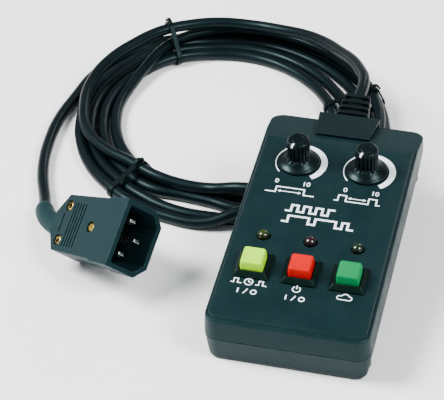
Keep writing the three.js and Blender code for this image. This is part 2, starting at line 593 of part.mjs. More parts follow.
/** The flexible boot: a bent, tapering sleeve, closed where it meets the lead. */
function plugBoot() {
  const end = plug.worldToLocal(new THREE.Vector3(...PLUG_LEAD_ROUTE[0]));
  const after = plug.worldToLocal(new THREE.Vector3(...PLUG_LEAD_ROUTE[1]));
  const out = after.sub(end).normalize();
  const start = new THREE.Vector3(-PLUG_LENGTH - GAP, 0, 0);
  const finish = end.clone().addScaledVector(out, -GAP);
  const reach = start.distanceTo(finish);
  const curve = new THREE.CubicBezierCurve3(start, start.clone().add(new THREE.Vector3(-reach * 0.45, 0, 0)),
    finish.clone().addScaledVector(out, -reach * 0.35), finish);
  const rings = [];
  const steps = 9;
  for (let i = 0; i <= steps; i += 1) {
    const t = i / steps;
    const centre = curve.getPoint(t);
    const ahead = curve.getTangent(t);
    const across = new THREE.Vector3(0, 0, 1).cross(ahead).normalize();
    const over = ahead.clone().cross(across);
    const radius = 5 - t - (i === steps ? 0.5 : 0);
    const ring = [];
    for (let k = 0; k < 14; k += 1) {
      const angle = k * 2 * Math.PI / 14;
      const point = centre.clone().addScaledVector(across, radius * Math.cos(angle))
        .addScaledVector(over, radius * Math.sin(angle));
      ring.push([point.x, point.y, point.z]);
    }
    rings.push(ring);
  }
  return skinned(rings);
}

function addPlug() {
  const grey = 0x2b3335;
  add('plug_cover', plugCover(), plug, grey);
  add('plug_base', plugBase(), plug, grey);
  add('plug_insert', plugInsert(), plug, 0x101314);
  PIN_PLACES.forEach(([y, z], index) => {
    add(`plug_pin_${PIN_NAMES[index]}`, plugPin(y, z, index === 1 ? -2 : -3.5), plug, 0xd0d2cf, 1, 0.25);
  });
  add('plug_boot', plugBoot(), plug, grey);
  PLUG_SCREWS.forEach(([x, y], index) => {
    const place = nested(plug, [x, y, PLUG_DEPTH / 2 - 0.9], [180, 0, 0]);
    add(`plug_screw_${index + 1}`, screw(2.1, 1.4, 1.15, PLUG_SCREW_LENGTHS[index]), place, 0xc7a14a, 1, 0.3);
  });
}

// ---- the whole part ----------------------------------------------------------------------
add('upper_shell', upperShell(), box);
add('lower_shell', lowerShell(), box);
addDial(-1, 'left_dial');
addDial(1, 'right_dial');
addButtonColumn(-1, 'timer', 0xd2ef2a, 0x8a9a1a);
addButtonColumn(0, 'power', 0xe8262c, 0x7a1020);
addButtonColumn(1, 'fog', 0x12a873, 0x14602a);
addInside();
addCableEnd();
addLead();
addPlug();

export default part;
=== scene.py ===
"""Looks of a wired timer remote: hand box, dials, lamps, buttons, coiled lead and appliance plug."""

import json
import logging
import math
from collections.abc import Sequence
from dataclasses import dataclass
from enum import Enum
from functools import cache
from typing import ClassVar

import bmesh
import bpy
from mathutils import Matrix, Vector


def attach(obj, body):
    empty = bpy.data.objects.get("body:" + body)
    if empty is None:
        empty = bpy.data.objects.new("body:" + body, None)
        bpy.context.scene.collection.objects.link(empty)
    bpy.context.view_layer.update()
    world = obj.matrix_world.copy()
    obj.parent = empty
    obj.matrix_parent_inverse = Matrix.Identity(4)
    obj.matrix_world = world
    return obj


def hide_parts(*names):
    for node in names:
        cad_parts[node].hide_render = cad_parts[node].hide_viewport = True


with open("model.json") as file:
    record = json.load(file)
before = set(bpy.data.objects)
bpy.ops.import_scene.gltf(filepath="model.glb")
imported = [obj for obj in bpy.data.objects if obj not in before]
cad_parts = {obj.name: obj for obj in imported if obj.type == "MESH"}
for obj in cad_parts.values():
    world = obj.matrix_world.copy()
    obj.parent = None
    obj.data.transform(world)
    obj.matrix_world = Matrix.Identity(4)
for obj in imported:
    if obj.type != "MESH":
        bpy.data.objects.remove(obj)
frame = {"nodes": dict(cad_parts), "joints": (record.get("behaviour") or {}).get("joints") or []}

LOG = logging.getLogger("timer_remote")
MM = 0.001
Colour = tuple[float, float, float, float]
Point = tuple[float, float]


def linear(code: str) -> Colour:
    """Turns a six-digit display colour into linear light.

    Args:
        code: The colour as hexadecimal digits, without a mark in front.

    Returns:
        Red, green, blue and a full alpha.
    """
    def channel(start: int) -> float:
        """One channel of the colour as linear light."""
        value = int(code[start:start + 2], 16) / 255
        return value / 12.92 if value <= 0.04045 else ((value + 0.055) / 1.055) ** 2.4
    return (channel(0), channel(2), channel(4), 1.0)


def smooth_step(value: float) -> float:
    """Eases a share from 0 to 1, level at both ends."""
    share = min(1.0, max(0.0, value))
    return share * share * (3 - 2 * share)


# ---- frames of the sub-assemblies ---------------------------------------------------------------
class Frames:
    """Where the hand box and the plug stand in the part's frame."""

    LEFT_DIAL = Vector((-14.2, 92.5, 30.0))
    PLUG_MOUTH = Vector((-69, -36.4, 26.45))
    PLUG_TURNS_DEG = (-32.3, -21.2, 45.0)

    @staticmethod
    def box() -> Matrix:
        """Finds the hand box's own frame from the left dial's joint.

        Returns:
            A matrix from box millimetres (x across, y towards the cable end, z up from the underside)
            to the part's frame in metres.
        """
        joint = next(j for j in frame["joints"] if j["name"] == "left_dial_turn")
        up = -Vector(joint["axis"]).normalized()
        across = Vector((1, 0, 0))
        along = up.cross(across)
        turn = Matrix((across, along, up)).transposed().to_4x4()
        origin = Vector(joint["pos_m"]) - turn.to_3x3() @ Frames.LEFT_DIAL * MM
        return Matrix.Translation(origin) @ turn @ Matrix.Scale(MM, 4)

    @staticmethod
    def plug() -> Matrix:
        """Gives the plug's own frame.

        Returns:
            A matrix from plug millimetres (x out of the mouth, z out of the wide face) to metres.
        """
        yaw, pitch, roll = (math.radians(v) for v in Frames.PLUG_TURNS_DEG)
        turn = (Matrix.Rotation(yaw, 4, "Z") @ Matrix.Rotation(pitch, 4, "Y")
                @ Matrix.Rotation(roll, 4, "X"))
        place = Matrix.Translation(Frames.PLUG_MOUTH * MM)
        return place @ turn @ Matrix.Scale(MM, 4)


# ---- node trees ---------------------------------------------------------------------------------
class Draft:
    """A node tree being drawn: short calls add nodes and feed their sockets."""

    def __init__(self, tree: bpy.types.NodeTree) -> None:
        """Starts on a tree."""
        self.tree = tree

    def feed(self, socket: bpy.types.NodeSocket, value: object) -> None:
        """Links a socket to another one, or sets it to a plain value.

        Args:
            socket: The input to feed.
            value: An output socket, a plain value, or None to leave the input as it is.
        """
        if isinstance(value, bpy.types.NodeSocket):
            self.tree.links.new(value, socket)
        elif value is not None:
            socket.default_value = value

    def add(self, kind: str, *feeds: object, named: dict[str, object] | None = None,
            **settings: object) -> bpy.types.Node:
        """Adds one node.

        Args:
            kind: The node's type name.
            feeds: Values for its inputs, in order.
            named: Values for inputs by their names.
            settings: Properties of the node itself.

        Returns:
            The new node.
        """
        node = self.tree.nodes.new(kind)
        for key, value in settings.items():
            setattr(node, key, value)
        for socket, value in zip(node.inputs, feeds):
            self.feed(socket, value)
        for key, value in (named or {}).items():
            self.feed(node.inputs[key], value)
        return node

    def math(self, operation: str, *feeds: object) -> bpy.types.NodeSocket:
        """Adds a Math node and returns its result."""
        return self.add("ShaderNodeMath", *feeds, operation=operation).outputs[0]


def new_group(name: str, kind: str, inputs: dict[str, tuple[str, object]],
              outputs: dict[str, str]) -> tuple[Draft, bpy.types.Node, bpy.types.Node]:
    """Makes an empty node group with named sockets.

    Args:
        name: The group's name.
        kind: Its tree type.
        inputs: Socket type and default by name.
        outputs: Socket type by name.

    Returns:
        A draft of the group, its input node and its output node.
    """
    tree = bpy.data.node_groups.new(name, kind)
    for label, (socket_type, default) in inputs.items():
        socket = tree.interface.new_socket(label, in_out="INPUT", socket_type=socket_type)
        if default is not None:
            socket.default_value = default
    for label, socket_type in outputs.items():
        tree.interface.new_socket(label, in_out="OUTPUT", socket_type=socket_type)
    draft = Draft(tree)
    return draft, draft.add("NodeGroupInput"), draft.add("NodeGroupOutput")


class Effects:
    """Shader node groups that several finishes share."""

    @staticmethod
    @cache
    def grain() -> bpy.types.NodeTree:
        """The fine texture of a moulded surface, with slow changes of tone.

        Returns:
            A group that gives a height, and a tone from 0 to 1.
        """
        number = "NodeSocketFloat"
        draft, source, result = new_group(
            "moulded_grain", "ShaderNodeTree", {"Scale": (number, 2500.0), "Mottle": (number, 90.0)},
            {"Height": number, "Tone": number})
        place = draft.add("ShaderNodeTexCoord").outputs["Object"]
        fine = draft.add("ShaderNodeTexNoise", named={
            "Vector": place, "Scale": source.outputs["Scale"], "Detail": 2.0, "Roughness": 0.6})
        slow = draft.add("ShaderNodeTexNoise", named={
            "Vector": place, "Scale": source.outputs["Mottle"], "Detail": 3.0, "Roughness": 0.55})
        draft.feed(result.inputs["Height"], fine.outputs[0])
        draft.feed(result.inputs["Tone"], slow.outputs[0])
        return draft.tree

    @staticmethod
    @cache
    def wear() -> bpy.types.NodeTree:
        """Rubbed edges: strong where the surface turns sharply, broken up by a noise.

        Returns:
            A group that gives a mask.
        """
        number = "NodeSocketFloat"
        draft, source, result = new_group(
            "rubbed_edges", "ShaderNodeTree", {"Reach": (number, 0.0005), "Strength": (number, 1.0)},
            {"Mask": number})
        rounded = draft.add("ShaderNodeBevel", source.outputs["Reach"], samples=4)
        flat = draft.add("ShaderNodeNewGeometry").outputs["True Normal"]
        agree = draft.add("ShaderNodeVectorMath", rounded.outputs[0], flat,
                          operation="DOT_PRODUCT").outputs["Value"]
        turned = draft.math("MULTIPLY", draft.math("SUBTRACT", 1.0, agree), 6.0)
        place = draft.add("ShaderNodeTexCoord").outputs["Object"]
        broken = draft.add("ShaderNodeTexNoise", named={"Vector": place, "Scale": 420.0, "Detail": 4.0})
        patchy = draft.add("ShaderNodeMapRange", broken.outputs[0], 0.42, 0.62, 0.15, 1.0).outputs[0]
        mask = draft.math("MULTIPLY", draft.math("MULTIPLY", turned, patchy), source.outputs["Strength"])
        draft.feed(result.inputs["Mask"], draft.add("ShaderNodeClamp", mask).outputs[0])
        return draft.tree

    @staticmethod
    @cache
    def dust() -> bpy.types.NodeTree:
        """A thin film of dust on what faces up.

        Returns:
            A group that gives a mask.
        """
        number = "NodeSocketFloat"
        draft, source, result = new_group(
            "settled_dust", "ShaderNodeTree", {"Amount": (number, 0.1)}, {"Mask": number})
        normal = draft.add("ShaderNodeNewGeometry").outputs["Normal"]
        up = draft.add("ShaderNodeSeparateXYZ", normal).outputs["Z"]
        facing = draft.add("ShaderNodeMapRange", up, 0.2, 1.0, 0.0, 1.0).outputs[0]
        place = draft.add("ShaderNodeTexCoord").outputs["Object"]
        cloud = draft.add("ShaderNodeTexNoise", named={"Vector": place, "Scale": 160.0, "Detail": 5.0})
        spread = draft.add("ShaderNodeMapRange", cloud.outputs[0], 0.4, 0.7, 0.3, 1.0).outputs[0]
        mask = draft.math("MULTIPLY", draft.math("MULTIPLY", facing, spread), source.outputs["Amount"])
        draft.feed(result.inputs["Mask"], mask)
        return draft.tree


# ---- finishes -----------------------------------------------------------------------------------
def shader_of(name: str) -> tuple[bpy.types.Material, Draft, bpy.types.Node]:
    """Makes a material with an empty Principled shader.

    Args:
        name: The material's name.

    Returns:
        The material, a draft of its tree, and the shader node.
    """
    material = bpy.data.materials.new(name)
    material.use_nodes = True
    draft = Draft(material.node_tree)
    return material, draft, material.node_tree.nodes["Principled BSDF"]


def blended(draft: Draft, share: object, first: object, second: object) -> bpy.types.NodeSocket:
    """Mixes two colours by a share and returns the result."""
    node = draft.add("ShaderNodeMix", data_type="RGBA")
    draft.feed(node.inputs[0], share)
    draft.feed(node.inputs[6], first)
    draft.feed(node.inputs[7], second)
    return node.outputs[2]


@dataclass(frozen=True)
class Moulded:
    """Moulded plastic or rubber, with grain, rubbed edges and a little dust."""

    name: str
    base: str
    light: str
    rough: float = 0.45
    grain: float = 2600.0
    relief: float = 0.00004
    wear: float = 0.35
    dust: float = 0.04
    coat: float = 0.0
    shine: float = 0.25
    gleam: str = "aadfe0"

    def material(self) -> bpy.types.Material:
        """Builds the material.

        Returns:
            The finished material.
        """
        made, draft, shader = shader_of(self.name)
        grain = draft.add("ShaderNodeGroup", node_tree=Effects.grain())
        grain.inputs["Scale"].default_value = self.grain
        wear = draft.add("ShaderNodeGroup", node_tree=Effects.wear())
        wear.inputs["Strength"].default_value = self.wear
        dust = draft.add("ShaderNodeGroup", node_tree=Effects.dust())
        dust.inputs["Amount"].default_value = self.dust
        base = linear(self.base)
        shade = tuple(v * 0.8 for v in base[:3]) + (1.0,)
        toned = blended(draft, grain.outputs["Tone"], shade, tuple(v * 1.2 for v in base[:3]) + (1.0,))
        rubbed = blended(draft, wear.outputs["Mask"], toned, linear(self.light))
        dusty = blended(draft, dust.outputs["Mask"], rubbed, linear("b9c2c4"))
        draft.feed(shader.inputs["Base Color"], dusty)
        spread = draft.add("ShaderNodeMapRange", grain.outputs["Tone"], 0.3, 0.7,
                           self.rough - 0.05, self.rough + 0.07).outputs[0]
        draft.feed(shader.inputs["Roughness"], draft.math("ADD", spread, draft.math(
            "MULTIPLY", dust.outputs["Mask"], 0.5)))
        bump = draft.add("ShaderNodeBump", named={
            "Strength": 0.6, "Distance": self.relief, "Height": grain.outputs["Height"]})
        draft.feed(shader.inputs["Normal"], bump.outputs[0])
        shader.inputs["Coat Weight"].default_value = self.coat
        shader.inputs["Coat Roughness"].default_value = 0.12
        shader.inputs["Specular IOR Level"].default_value = self.shine
        shader.inputs["Specular Tint"].default_value = linear(self.gleam)
        return made


@dataclass(frozen=True)
class Metal:
    """Turned or stamped metal, with fine tool lines and tarnish."""

    name: str
    base: str
    tarnish: str
    rough: float = 0.28

    def material(self) -> bpy.types.Material:
        """Builds the material.

        Returns:
            The finished material.
        """
        made, draft, shader = shader_of(self.name)
        place = draft.add("ShaderNodeTexCoord").outputs["Object"]
        lines = draft.add("ShaderNodeMapping", named={"Vector": place, "Scale": (9000.0, 900.0, 900.0)})
        brushed = draft.add("ShaderNodeTexNoise", named={
            "Vector": lines.outputs[0], "Scale": 1.0, "Detail": 3.0})
        grain = draft.add("ShaderNodeGroup", node_tree=Effects.grain())
        grain.inputs["Mottle"].default_value = 500.0
        patches = draft.add("ShaderNodeMapRange", grain.outputs["Tone"], 0.45, 0.75, 0.0, 0.8).outputs[0]
        tone = blended(draft, patches, linear(self.base), linear(self.tarnish))
        draft.feed(shader.inputs["Base Color"], tone)
        spread = draft.add("ShaderNodeMapRange", brushed.outputs[0], 0.3, 0.7,
                           self.rough - 0.08, self.rough + 0.14).outputs[0]
        draft.feed(shader.inputs["Roughness"], spread)
        bump = draft.add("ShaderNodeBump", named={
            "Strength": 0.25, "Distance": 0.00002, "Height": brushed.outputs[0]})
        draft.feed(shader.inputs["Normal"], bump.outputs[0])
        shader.inputs["Metallic"].default_value = 1.0
        return made


@dataclass(frozen=True)
class Lens:
    """Tinted clear resin of a small lamp that isn't lit, with a painted glow where its crown faces up."""

    name: str
    tint: str
    # The brighter colour of the painted glow on the lamp's crown.
    deep: str

    def material(self) -> bpy.types.Material:
        """Builds the material.

        Returns:
            The finished material.
        """
        made, draft, shader = shader_of(self.name)
        grain = draft.add("ShaderNodeGroup", node_tree=Effects.grain())
        grain.inputs["Mottle"].default_value = 700.0
        # Painted glow: where the dome faces up, the colour is mixed from the tint towards the brighter deep
        # colour, mottled by the grain tone.
        normal = draft.add("ShaderNodeNewGeometry").outputs["Normal"]
        up = draft.add("ShaderNodeSeparateXYZ", normal).outputs["Z"]
        crown = draft.add("ShaderNodeMapRange", up, 0.55, 0.99, 0.0, 1.0).outputs[0]
        shade = draft.math("MULTIPLY", crown, grain.outputs["Tone"])
        draft.feed(shader.inputs["Base Color"], blended(draft, shade, linear(self.tint), linear(self.deep)))
        draft.feed(shader.inputs["Roughness"], draft.add(
            "ShaderNodeMapRange", grain.outputs["Tone"], 0.3, 0.7, 0.06, 0.14).outputs[0])
        shader.inputs["Coat Weight"].default_value = 0.4
        shader.inputs["Coat Roughness"].default_value = 0.04
        return made


class Finish(Enum):
    """Every finish of the remote."""

    SHELL = Moulded("shell_plastic", "0a1c1f", "38544f", 0.42, 3000.0, 0.00005, 0.2, 0.004, 0.0, 0.14)
    KNOB = Moulded("knob_plastic", "010508", "141f24", 0.34, 2600.0, 0.00002, 0.3, 0.002, 0.06, 0.2)
    INK = Moulded("white_ink", "e9f2f6", "c3ced2", 0.5, 4000.0, 0.00001, 0.0, 0.0)
    INDEX = Moulded("index_paint", "eef4f6", "c9d2d6", 0.4, 4000.0, 0.00001, 0.1, 0.0)
    BEZEL = Moulded("bezel_plastic", "03100b", "24362e", 0.4, 2800.0, 0.00003, 0.4, 0.004, 0.0, 0.14)
    YELLOW = Moulded("yellow_cap", "a0e000", "b4ea00", 0.5, 1800.0, 0.00001, 0.05, 0.0, 0.0, 0.05)
    RED = Moulded("red_cap", "b80004", "d80408", 0.5, 1800.0, 0.00001, 0.05, 0.0, 0.0, 0.1)
    GREEN = Moulded("green_cap", "007440", "048c50", 0.5, 1800.0, 0.00001, 0.05, 0.0, 0.0, 0.1)
    CORD = Moulded("cord_vinyl", "02090d", "11222a", 0.42, 1400.0, 0.00003, 0.0, 0.002, 0.04, 0.16)
    RELIEF = Moulded("relief_rubber", "030709", "172226", 0.5, 1800.0, 0.00004, 0.3, 0.004, 0.0, 0.15)
    TIE = Moulded("tie_rubber", "010405", "10191d", 0.42, 2000.0, 0.00003, 0.3, 0.002, 0.0, 0.15)
    CLIP = Moulded("clip_paint", "071417", "2f4648", 0.42, 1500.0, 0.00003, 0.4, 0.003, 0.0, 0.14)
    PLUG = Moulded("plug_plastic", "0f2226", "3a5558", 0.5, 2200.0, 0.00007, 0.3, 0.004, 0.0, 0.14)
    BOOT = Moulded("boot_rubber", "0d2528", "335154", 0.55, 1600.0, 0.00006, 0.3, 0.004, 0.0, 0.14)
    # The insert's own dark plastic, also used as painted shade on the walls inside the plug's mouth.
    INSERT = Moulded("insert_and_mouth_shade_plastic", "010203", "080d10", 0.5, 2600.0, 0.00003, 0.1, 0.001, 0.0, 0.1)
    BOARD = Moulded("board_laminate", "1d6b3b", "7fb08f", 0.4, 1200.0, 0.00003, 0.3, 0.02)
    CHIP = Moulded("chip_resin", "15181a", "3f4548", 0.5, 2400.0, 0.00003, 0.3, 0.02)
    TERMINAL = Moulded("terminal_plastic", "1f6b45", "6fb08d", 0.45, 2400.0, 0.00003, 0.3, 0.02)
    SWITCH = Moulded("switch_plastic", "1d2325", "566064", 0.5, 2400.0, 0.00003, 0.3, 0.02)
    STEEL = Metal("bright_steel", "b4babd", "6e7577", 0.3)
    POT = Metal("pressed_case", "9aa1a4", "62696b", 0.38)
    NICKEL = Metal("nickel_pin", "e6e8e4", "a9aca6", 0.2)
    BRASS = Metal("brass_screw", "d9bb66", "7c6a33", 0.3)
    ZINC = Metal("zinc_screw", "a9b0b3", "5d6567", 0.34)
    # Lamp lenses: a dark tint, with a brighter deep colour painted on the crown as a painted glow.
    YELLOW_LENS = Lens("yellow_lens", "0e1801", "2c4404")
    RED_LENS = Lens("red_lens", "100106", "2c0610")
    GREEN_LENS = Lens("green_lens", "010e04", "06300e")

    def material(self) -> bpy.types.Material:
        """Gives this finish's material, made once."""
        return bpy.data.materials.get(self.value.name) or self.value.material()

    def dress(self, piece: bpy.types.Object) -> None:
        """Gives a piece this finish, in place of any other."""
        material = self.material()
        piece.data.materials.clear()
        piece.data.materials.append(material)


# ---- mesh helpers -------------------------------------------------------------------------------
def piece_of(name: str, mesh: bpy.types.Mesh) -> bpy.types.Object:
    """Puts a mesh in the scene as a piece whose object stands at the origin."""
    made = bpy.data.objects.new(name, mesh)
    bpy.context.scene.collection.objects.link(made)
    return made


def settle(piece: bpy.types.Object, body: str, finish: Finish,
           stands_for: Sequence[str] = ()) -> bpy.types.Object:
    """Dresses a finished piece and ties it to the frame.

    Args:
        piece: The piece, in place.
        body: The CAD body it moves with.
        finish: Its finish.
        stands_for: CAD nodes that it replaces.

    Returns:
        The same piece.
    """
    finish.dress(piece)
    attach(piece, body)
    if stands_for:
        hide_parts(*stands_for)
    LOG.info("piece %s rides on %s", piece.name, body)
    return piece


def dress_node(node: str, finish: Finish) -> None:
    """Gives a CAD node that is shown as it is its finish."""
    piece = frame["nodes"][node]
    finish.dress(piece)
    LOG.info("node %s keeps its shape", node)


def evaluated(holder: bpy.types.Object) -> bpy.types.Mesh:
    """Bakes an object's modifiers into a new mesh and removes the object.

    Args:
        holder: An object with live modifiers.

    Returns:
        The plain mesh.
    """
    bpy.context.view_layer.update()
    graph = bpy.context.evaluated_depsgraph_get()
    mesh = bpy.data.meshes.new_from_object(holder.evaluated_get(graph), depsgraph=graph)
    bpy.data.objects.remove(holder)
    return mesh


def shaded(mesh: bpy.types.Mesh, crease_deg: float = 32.0) -> bpy.types.Mesh:
    """Shades a mesh smooth, with flat faces kept flat and creases kept sharp.

    Args:
        mesh: The mesh to shade.
        crease_deg: Edges sharper than this stay sharp.

    Returns:
        A mesh with weighted normals.
    """
    mesh.shade_smooth()
    mesh.set_sharp_from_angle(angle=math.radians(crease_deg))
    holder = piece_of("shading", mesh)
    weighted = holder.modifiers.new("weighted", "WEIGHTED_NORMAL")
    weighted.keep_sharp = True
    return evaluated(holder)


def eased_copy(node: str, width: float, segments: int = 2, crease_deg: float = 33.0,
               merge_flats: bool = True) -> bpy.types.Mesh:
    """Copies a CAD node's shape and rounds its sharp edges.

    Args:
        node: The CAD node.
        width: Width of the rounding, in millimetres.
        segments: Faces across the rounding.
        crease_deg: Edges sharper than this are rounded.
        merge_flats: Whether flat neighbours are joined first, which a face cut by grooves does not stand.

    Returns:
        The rounded mesh.
    """
    shape = bmesh.new()
    shape.from_mesh(frame["nodes"][node].data)
    bmesh.ops.remove_doubles(shape, verts=shape.verts, dist=3e-6)
    if merge_flats:
        bmesh.ops.dissolve_limit(shape, angle_limit=math.radians(0.6), verts=shape.verts, edges=shape.edges,
                                 delimit={"NORMAL"})
    sharp = [e for e in shape.edges if e.is_manifold and e.calc_face_angle() > math.radians(crease_deg)]
    bmesh.ops.bevel(shape, geom=sharp, offset=width * MM, offset_type="OFFSET", segments=segments,
                    profile=0.5, affect="EDGES", clamp_overlap=True, miter_outer="ARC")
    mesh = bpy.data.meshes.new(node + "_eased")
    shape.to_mesh(mesh)
    shape.free()
    return shaded(mesh, 40.0)


def skin(rings: Sequence[Sequence[Vector]], name: str) -> bpy.types.Mesh:
    """Closes a stack of rings into one body.

    Args:
        rings: Rings of equal count.
        name: The mesh's name.

    Returns:
        The closed mesh, faces outwards.
    """
    shape = bmesh.new()
    rows = [[shape.verts.new(p) for p in ring] for ring in rings]
    count = len(rows[0])
    for low, high in zip(rows, rows[1:]):
        for i in range(count):
            shape.faces.new((low[i], low[(i + 1) % count], high[(i + 1) % count], high[i]))
    shape.faces.new(list(reversed(rows[0])))
    shape.faces.new(rows[-1])
    bmesh.ops.recalc_face_normals(shape, faces=shape.faces)
    mesh = bpy.data.meshes.new(name)
    shape.to_mesh(mesh)
    shape.free()
    return mesh


def rounded_outline(half_x: float, half_y: float, radius: float, steps: int) -> list[Point]:
    """Points round a rectangle with rounded corners, counterclockwise."""
    points: list[Point] = []
    for corner, (sx, sy) in enumerate(((1, 1), (-1, 1), (-1, -1), (1, -1))):
        for i in range(steps + 1):
            angle = (corner + i / steps) * math.pi / 2
            points.append((sx * (half_x - radius) + radius * math.cos(angle),
                           sy * (half_y - radius) + radius * math.sin(angle)))
    return points


def joined(parts: Sequence[bpy.types.Mesh], name: str) -> bpy.types.Mesh:
    """Puts several meshes into one."""
    shape = bmesh.new()
    for part in parts:
        shape.from_mesh(part)
    mesh = bpy.data.meshes.new(name)
    shape.to_mesh(mesh)
    shape.free()
    return mesh


# ---- geometry trees -----------------------------------------------------------------------------
class Trees:
    """Geometry node trees for what follows a path or repeats by a rule."""

    @staticmethod
    def grow(name: str, seed: bpy.types.Mesh, tree: bpy.types.NodeTree,
             values: dict[str, object]) -> bpy.types.Mesh:
        """Runs a tree on a seed mesh and keeps the result as a plain mesh.

        Args:
            name: Name of the resulting mesh.
            seed: The mesh that the tree starts from.
            tree: The geometry tree.
            values: Its inputs, by their names.

        Returns:
            The plain mesh.
        """
        holder = piece_of(name + "_seed", seed)
        modifier = holder.modifiers.new("grow", "NODES")
        modifier.node_group = tree
        for item in tree.interface.items_tree:
            if item.item_type == "SOCKET" and item.in_out == "INPUT" and item.name in values:
                modifier[item.identifier] = values[item.name]
        holder.update_tag()
        mesh = evaluated(holder)
        mesh.name = name
        return mesh

    @staticmethod
    def close(draft: Draft, result: bpy.types.Node, source: bpy.types.Node,
              geometry: bpy.types.NodeSocket) -> None:
        """Ends a tree: real geometry, smooth, in the finish that it is given."""
        real = draft.add("GeometryNodeRealizeInstances", geometry)
        smooth = draft.add("GeometryNodeSetShadeSmooth", real.outputs[0])
        painted = draft.add("GeometryNodeSetMaterial", smooth.outputs[0])
        draft.feed(painted.inputs["Material"], source.outputs["Finish"])
        draft.feed(result.inputs["Geometry"], painted.outputs[0])

    @staticmethod
    @cache
    def fluted() -> bpy.types.NodeTree:
        """A turned body from a profile line, with flutes round its grip.

        Returns:
            The tree.
        """
        number, whole = "NodeSocketFloat", "NodeSocketInt"
        draft, source, result = new_group("fluted_knob", "GeometryNodeTree", {
            "Geometry": ("NodeSocketGeometry", None), "Flutes": (whole, 18), "Flute Depth": (number, 0.4),
            "Flute Foot": (number, 4.0), "Flute Top": (number, 11.0), "Flute Inside": (number, 4.0),
            "Around": (whole, 181), "Along": (whole, 90), "Finish": ("NodeSocketMaterial", None)},
            {"Geometry": "NodeSocketGeometry"})
        profile = draft.add("GeometryNodeMeshToCurve", source.outputs["Geometry"])
        grid = draft.add("GeometryNodeMeshGrid", named={
            "Size X": 1.0, "Size Y": 1.0, "Vertices X": source.outputs["Around"],
            "Vertices Y": source.outputs["Along"]})
        spot = draft.add("ShaderNodeSeparateXYZ", draft.add("GeometryNodeInputPosition").outputs[0])
        share = draft.math("ADD", spot.outputs[1], 0.5)
        sample = draft.add("GeometryNodeSampleCurve", mode="FACTOR", use_all_curves=True)
        draft.feed(sample.inputs["Curves"], profile.outputs[0])
        draft.feed(sample.inputs["Factor"], share)
        line = draft.add("ShaderNodeSeparateXYZ", sample.outputs["Position"])
        angle = draft.math("MULTIPLY", draft.math("ADD", spot.outputs[0], 0.5), 2 * math.pi)
        wave = draft.math("COSINE", draft.math("MULTIPLY", angle, source.outputs["Flutes"]))
        groove = draft.math("POWER", draft.math("MULTIPLY_ADD", wave, 0.5, 0.5), 2.2)
        foot = draft.add("ShaderNodeMapRange", line.outputs[2], source.outputs["Flute Foot"],
                         draft.math("ADD", source.outputs["Flute Foot"], 0.7), 0.0, 1.0)
        top = draft.add("ShaderNodeMapRange", line.outputs[2], source.outputs["Flute Top"],
                        draft.math("ADD", source.outputs["Flute Top"], 0.9), 1.0, 0.0)
        outside = draft.math("GREATER_THAN", line.outputs[0], source.outputs["Flute Inside"])
        depth = draft.math("MULTIPLY", source.outputs["Flute Depth"], groove)
        for mask in (foot.outputs[0], top.outputs[0], outside):
            depth = draft.math("MULTIPLY", depth, mask)
        radius = draft.math("SUBTRACT", line.outputs[0], depth)
        place = draft.add("ShaderNodeCombineXYZ", draft.math("MULTIPLY", radius, draft.math("COSINE", angle)),
                          draft.math("MULTIPLY", radius, draft.math("SINE", angle)), line.outputs[2])
        bent = draft.add("GeometryNodeSetPosition", grid.outputs[0])
        draft.feed(bent.inputs["Position"], place.outputs[0])
        merged = draft.add("GeometryNodeMergeByDistance", bent.outputs[0], named={"Distance": 0.002})
        Trees.close(draft, result, source, merged.outputs[0])
        return draft.tree

    @staticmethod
    @cache
    def repeated() -> bpy.types.NodeTree:
        """Copies of a piece in a row, each a little smaller than the one before.

        Returns:
            The tree.
        """
        number, vector = "NodeSocketFloat", "NodeSocketVector"
        draft, source, result = new_group("rib_row", "GeometryNodeTree", {
            "Geometry": ("NodeSocketGeometry", None), "Count": ("NodeSocketInt", 4),
            "Start": (vector, (0, 0, 0)), "Pitch": (vector, (0, 3.9, 0)), "Taper X": (number, 0.06),
            "Taper Z": (number, 0.04), "Finish": ("NodeSocketMaterial", None)},
            {"Geometry": "NodeSocketGeometry"})
        row = draft.add("GeometryNodeMeshLine", mode="OFFSET")
        draft.feed(row.inputs["Count"], source.outputs["Count"])
        draft.feed(row.inputs["Start Location"], source.outputs["Start"])
        draft.feed(row.inputs["Offset"], source.outputs["Pitch"])
        index = draft.add("GeometryNodeInputIndex").outputs[0]
        shrink = [draft.math("SUBTRACT", 1.0, draft.math("MULTIPLY", index, source.outputs[key]))
                  for key in ("Taper X", "Taper Z")]
        scale = draft.add("ShaderNodeCombineXYZ", shrink[0], 1.0, shrink[1])
        copies = draft.add("GeometryNodeInstanceOnPoints", row.outputs[0])
        draft.feed(copies.inputs["Instance"], source.outputs["Geometry"])
        draft.feed(copies.inputs["Scale"], scale.outputs[0])
        Trees.close(draft, result, source, copies.outputs[0])
        return draft.tree

    @staticmethod
    @cache
    def strap() -> bpy.types.NodeTree:
        """A flat band that follows a line in the X-Y plane, its flat side towards the inside.

        Returns:
            The tree.
        """
        number = "NodeSocketFloat"
        draft, source, result = new_group("strap", "GeometryNodeTree", {
            "Geometry": ("NodeSocketGeometry", None), "Thickness": (number, 0.9), "Width": (number, 3.0),
            "Corner": (number, 0.3), "Finish": ("NodeSocketMaterial", None)},
            {"Geometry": "NodeSocketGeometry"})
        line = draft.add("GeometryNodeMeshToCurve", source.outputs["Geometry"])
        upright = draft.add("GeometryNodeSetCurveNormal", line.outputs[0], mode="Z_UP")
        section = draft.add("GeometryNodeCurvePrimitiveQuadrilateral", mode="RECTANGLE")
        draft.feed(section.inputs["Width"], source.outputs["Thickness"])
        draft.feed(section.inputs["Height"], source.outputs["Width"])
        eased = draft.add("GeometryNodeFilletCurve", section.outputs[0], mode="POLY")
        draft.feed(eased.inputs["Count"], 3)
        draft.feed(eased.inputs["Radius"], source.outputs["Corner"])
        swept = draft.add("GeometryNodeCurveToMesh", upright.outputs[0], eased.outputs[0])
        draft.feed(swept.inputs["Fill Caps"], True)
        Trees.close(draft, result, source, swept.outputs[0])
        return draft.tree

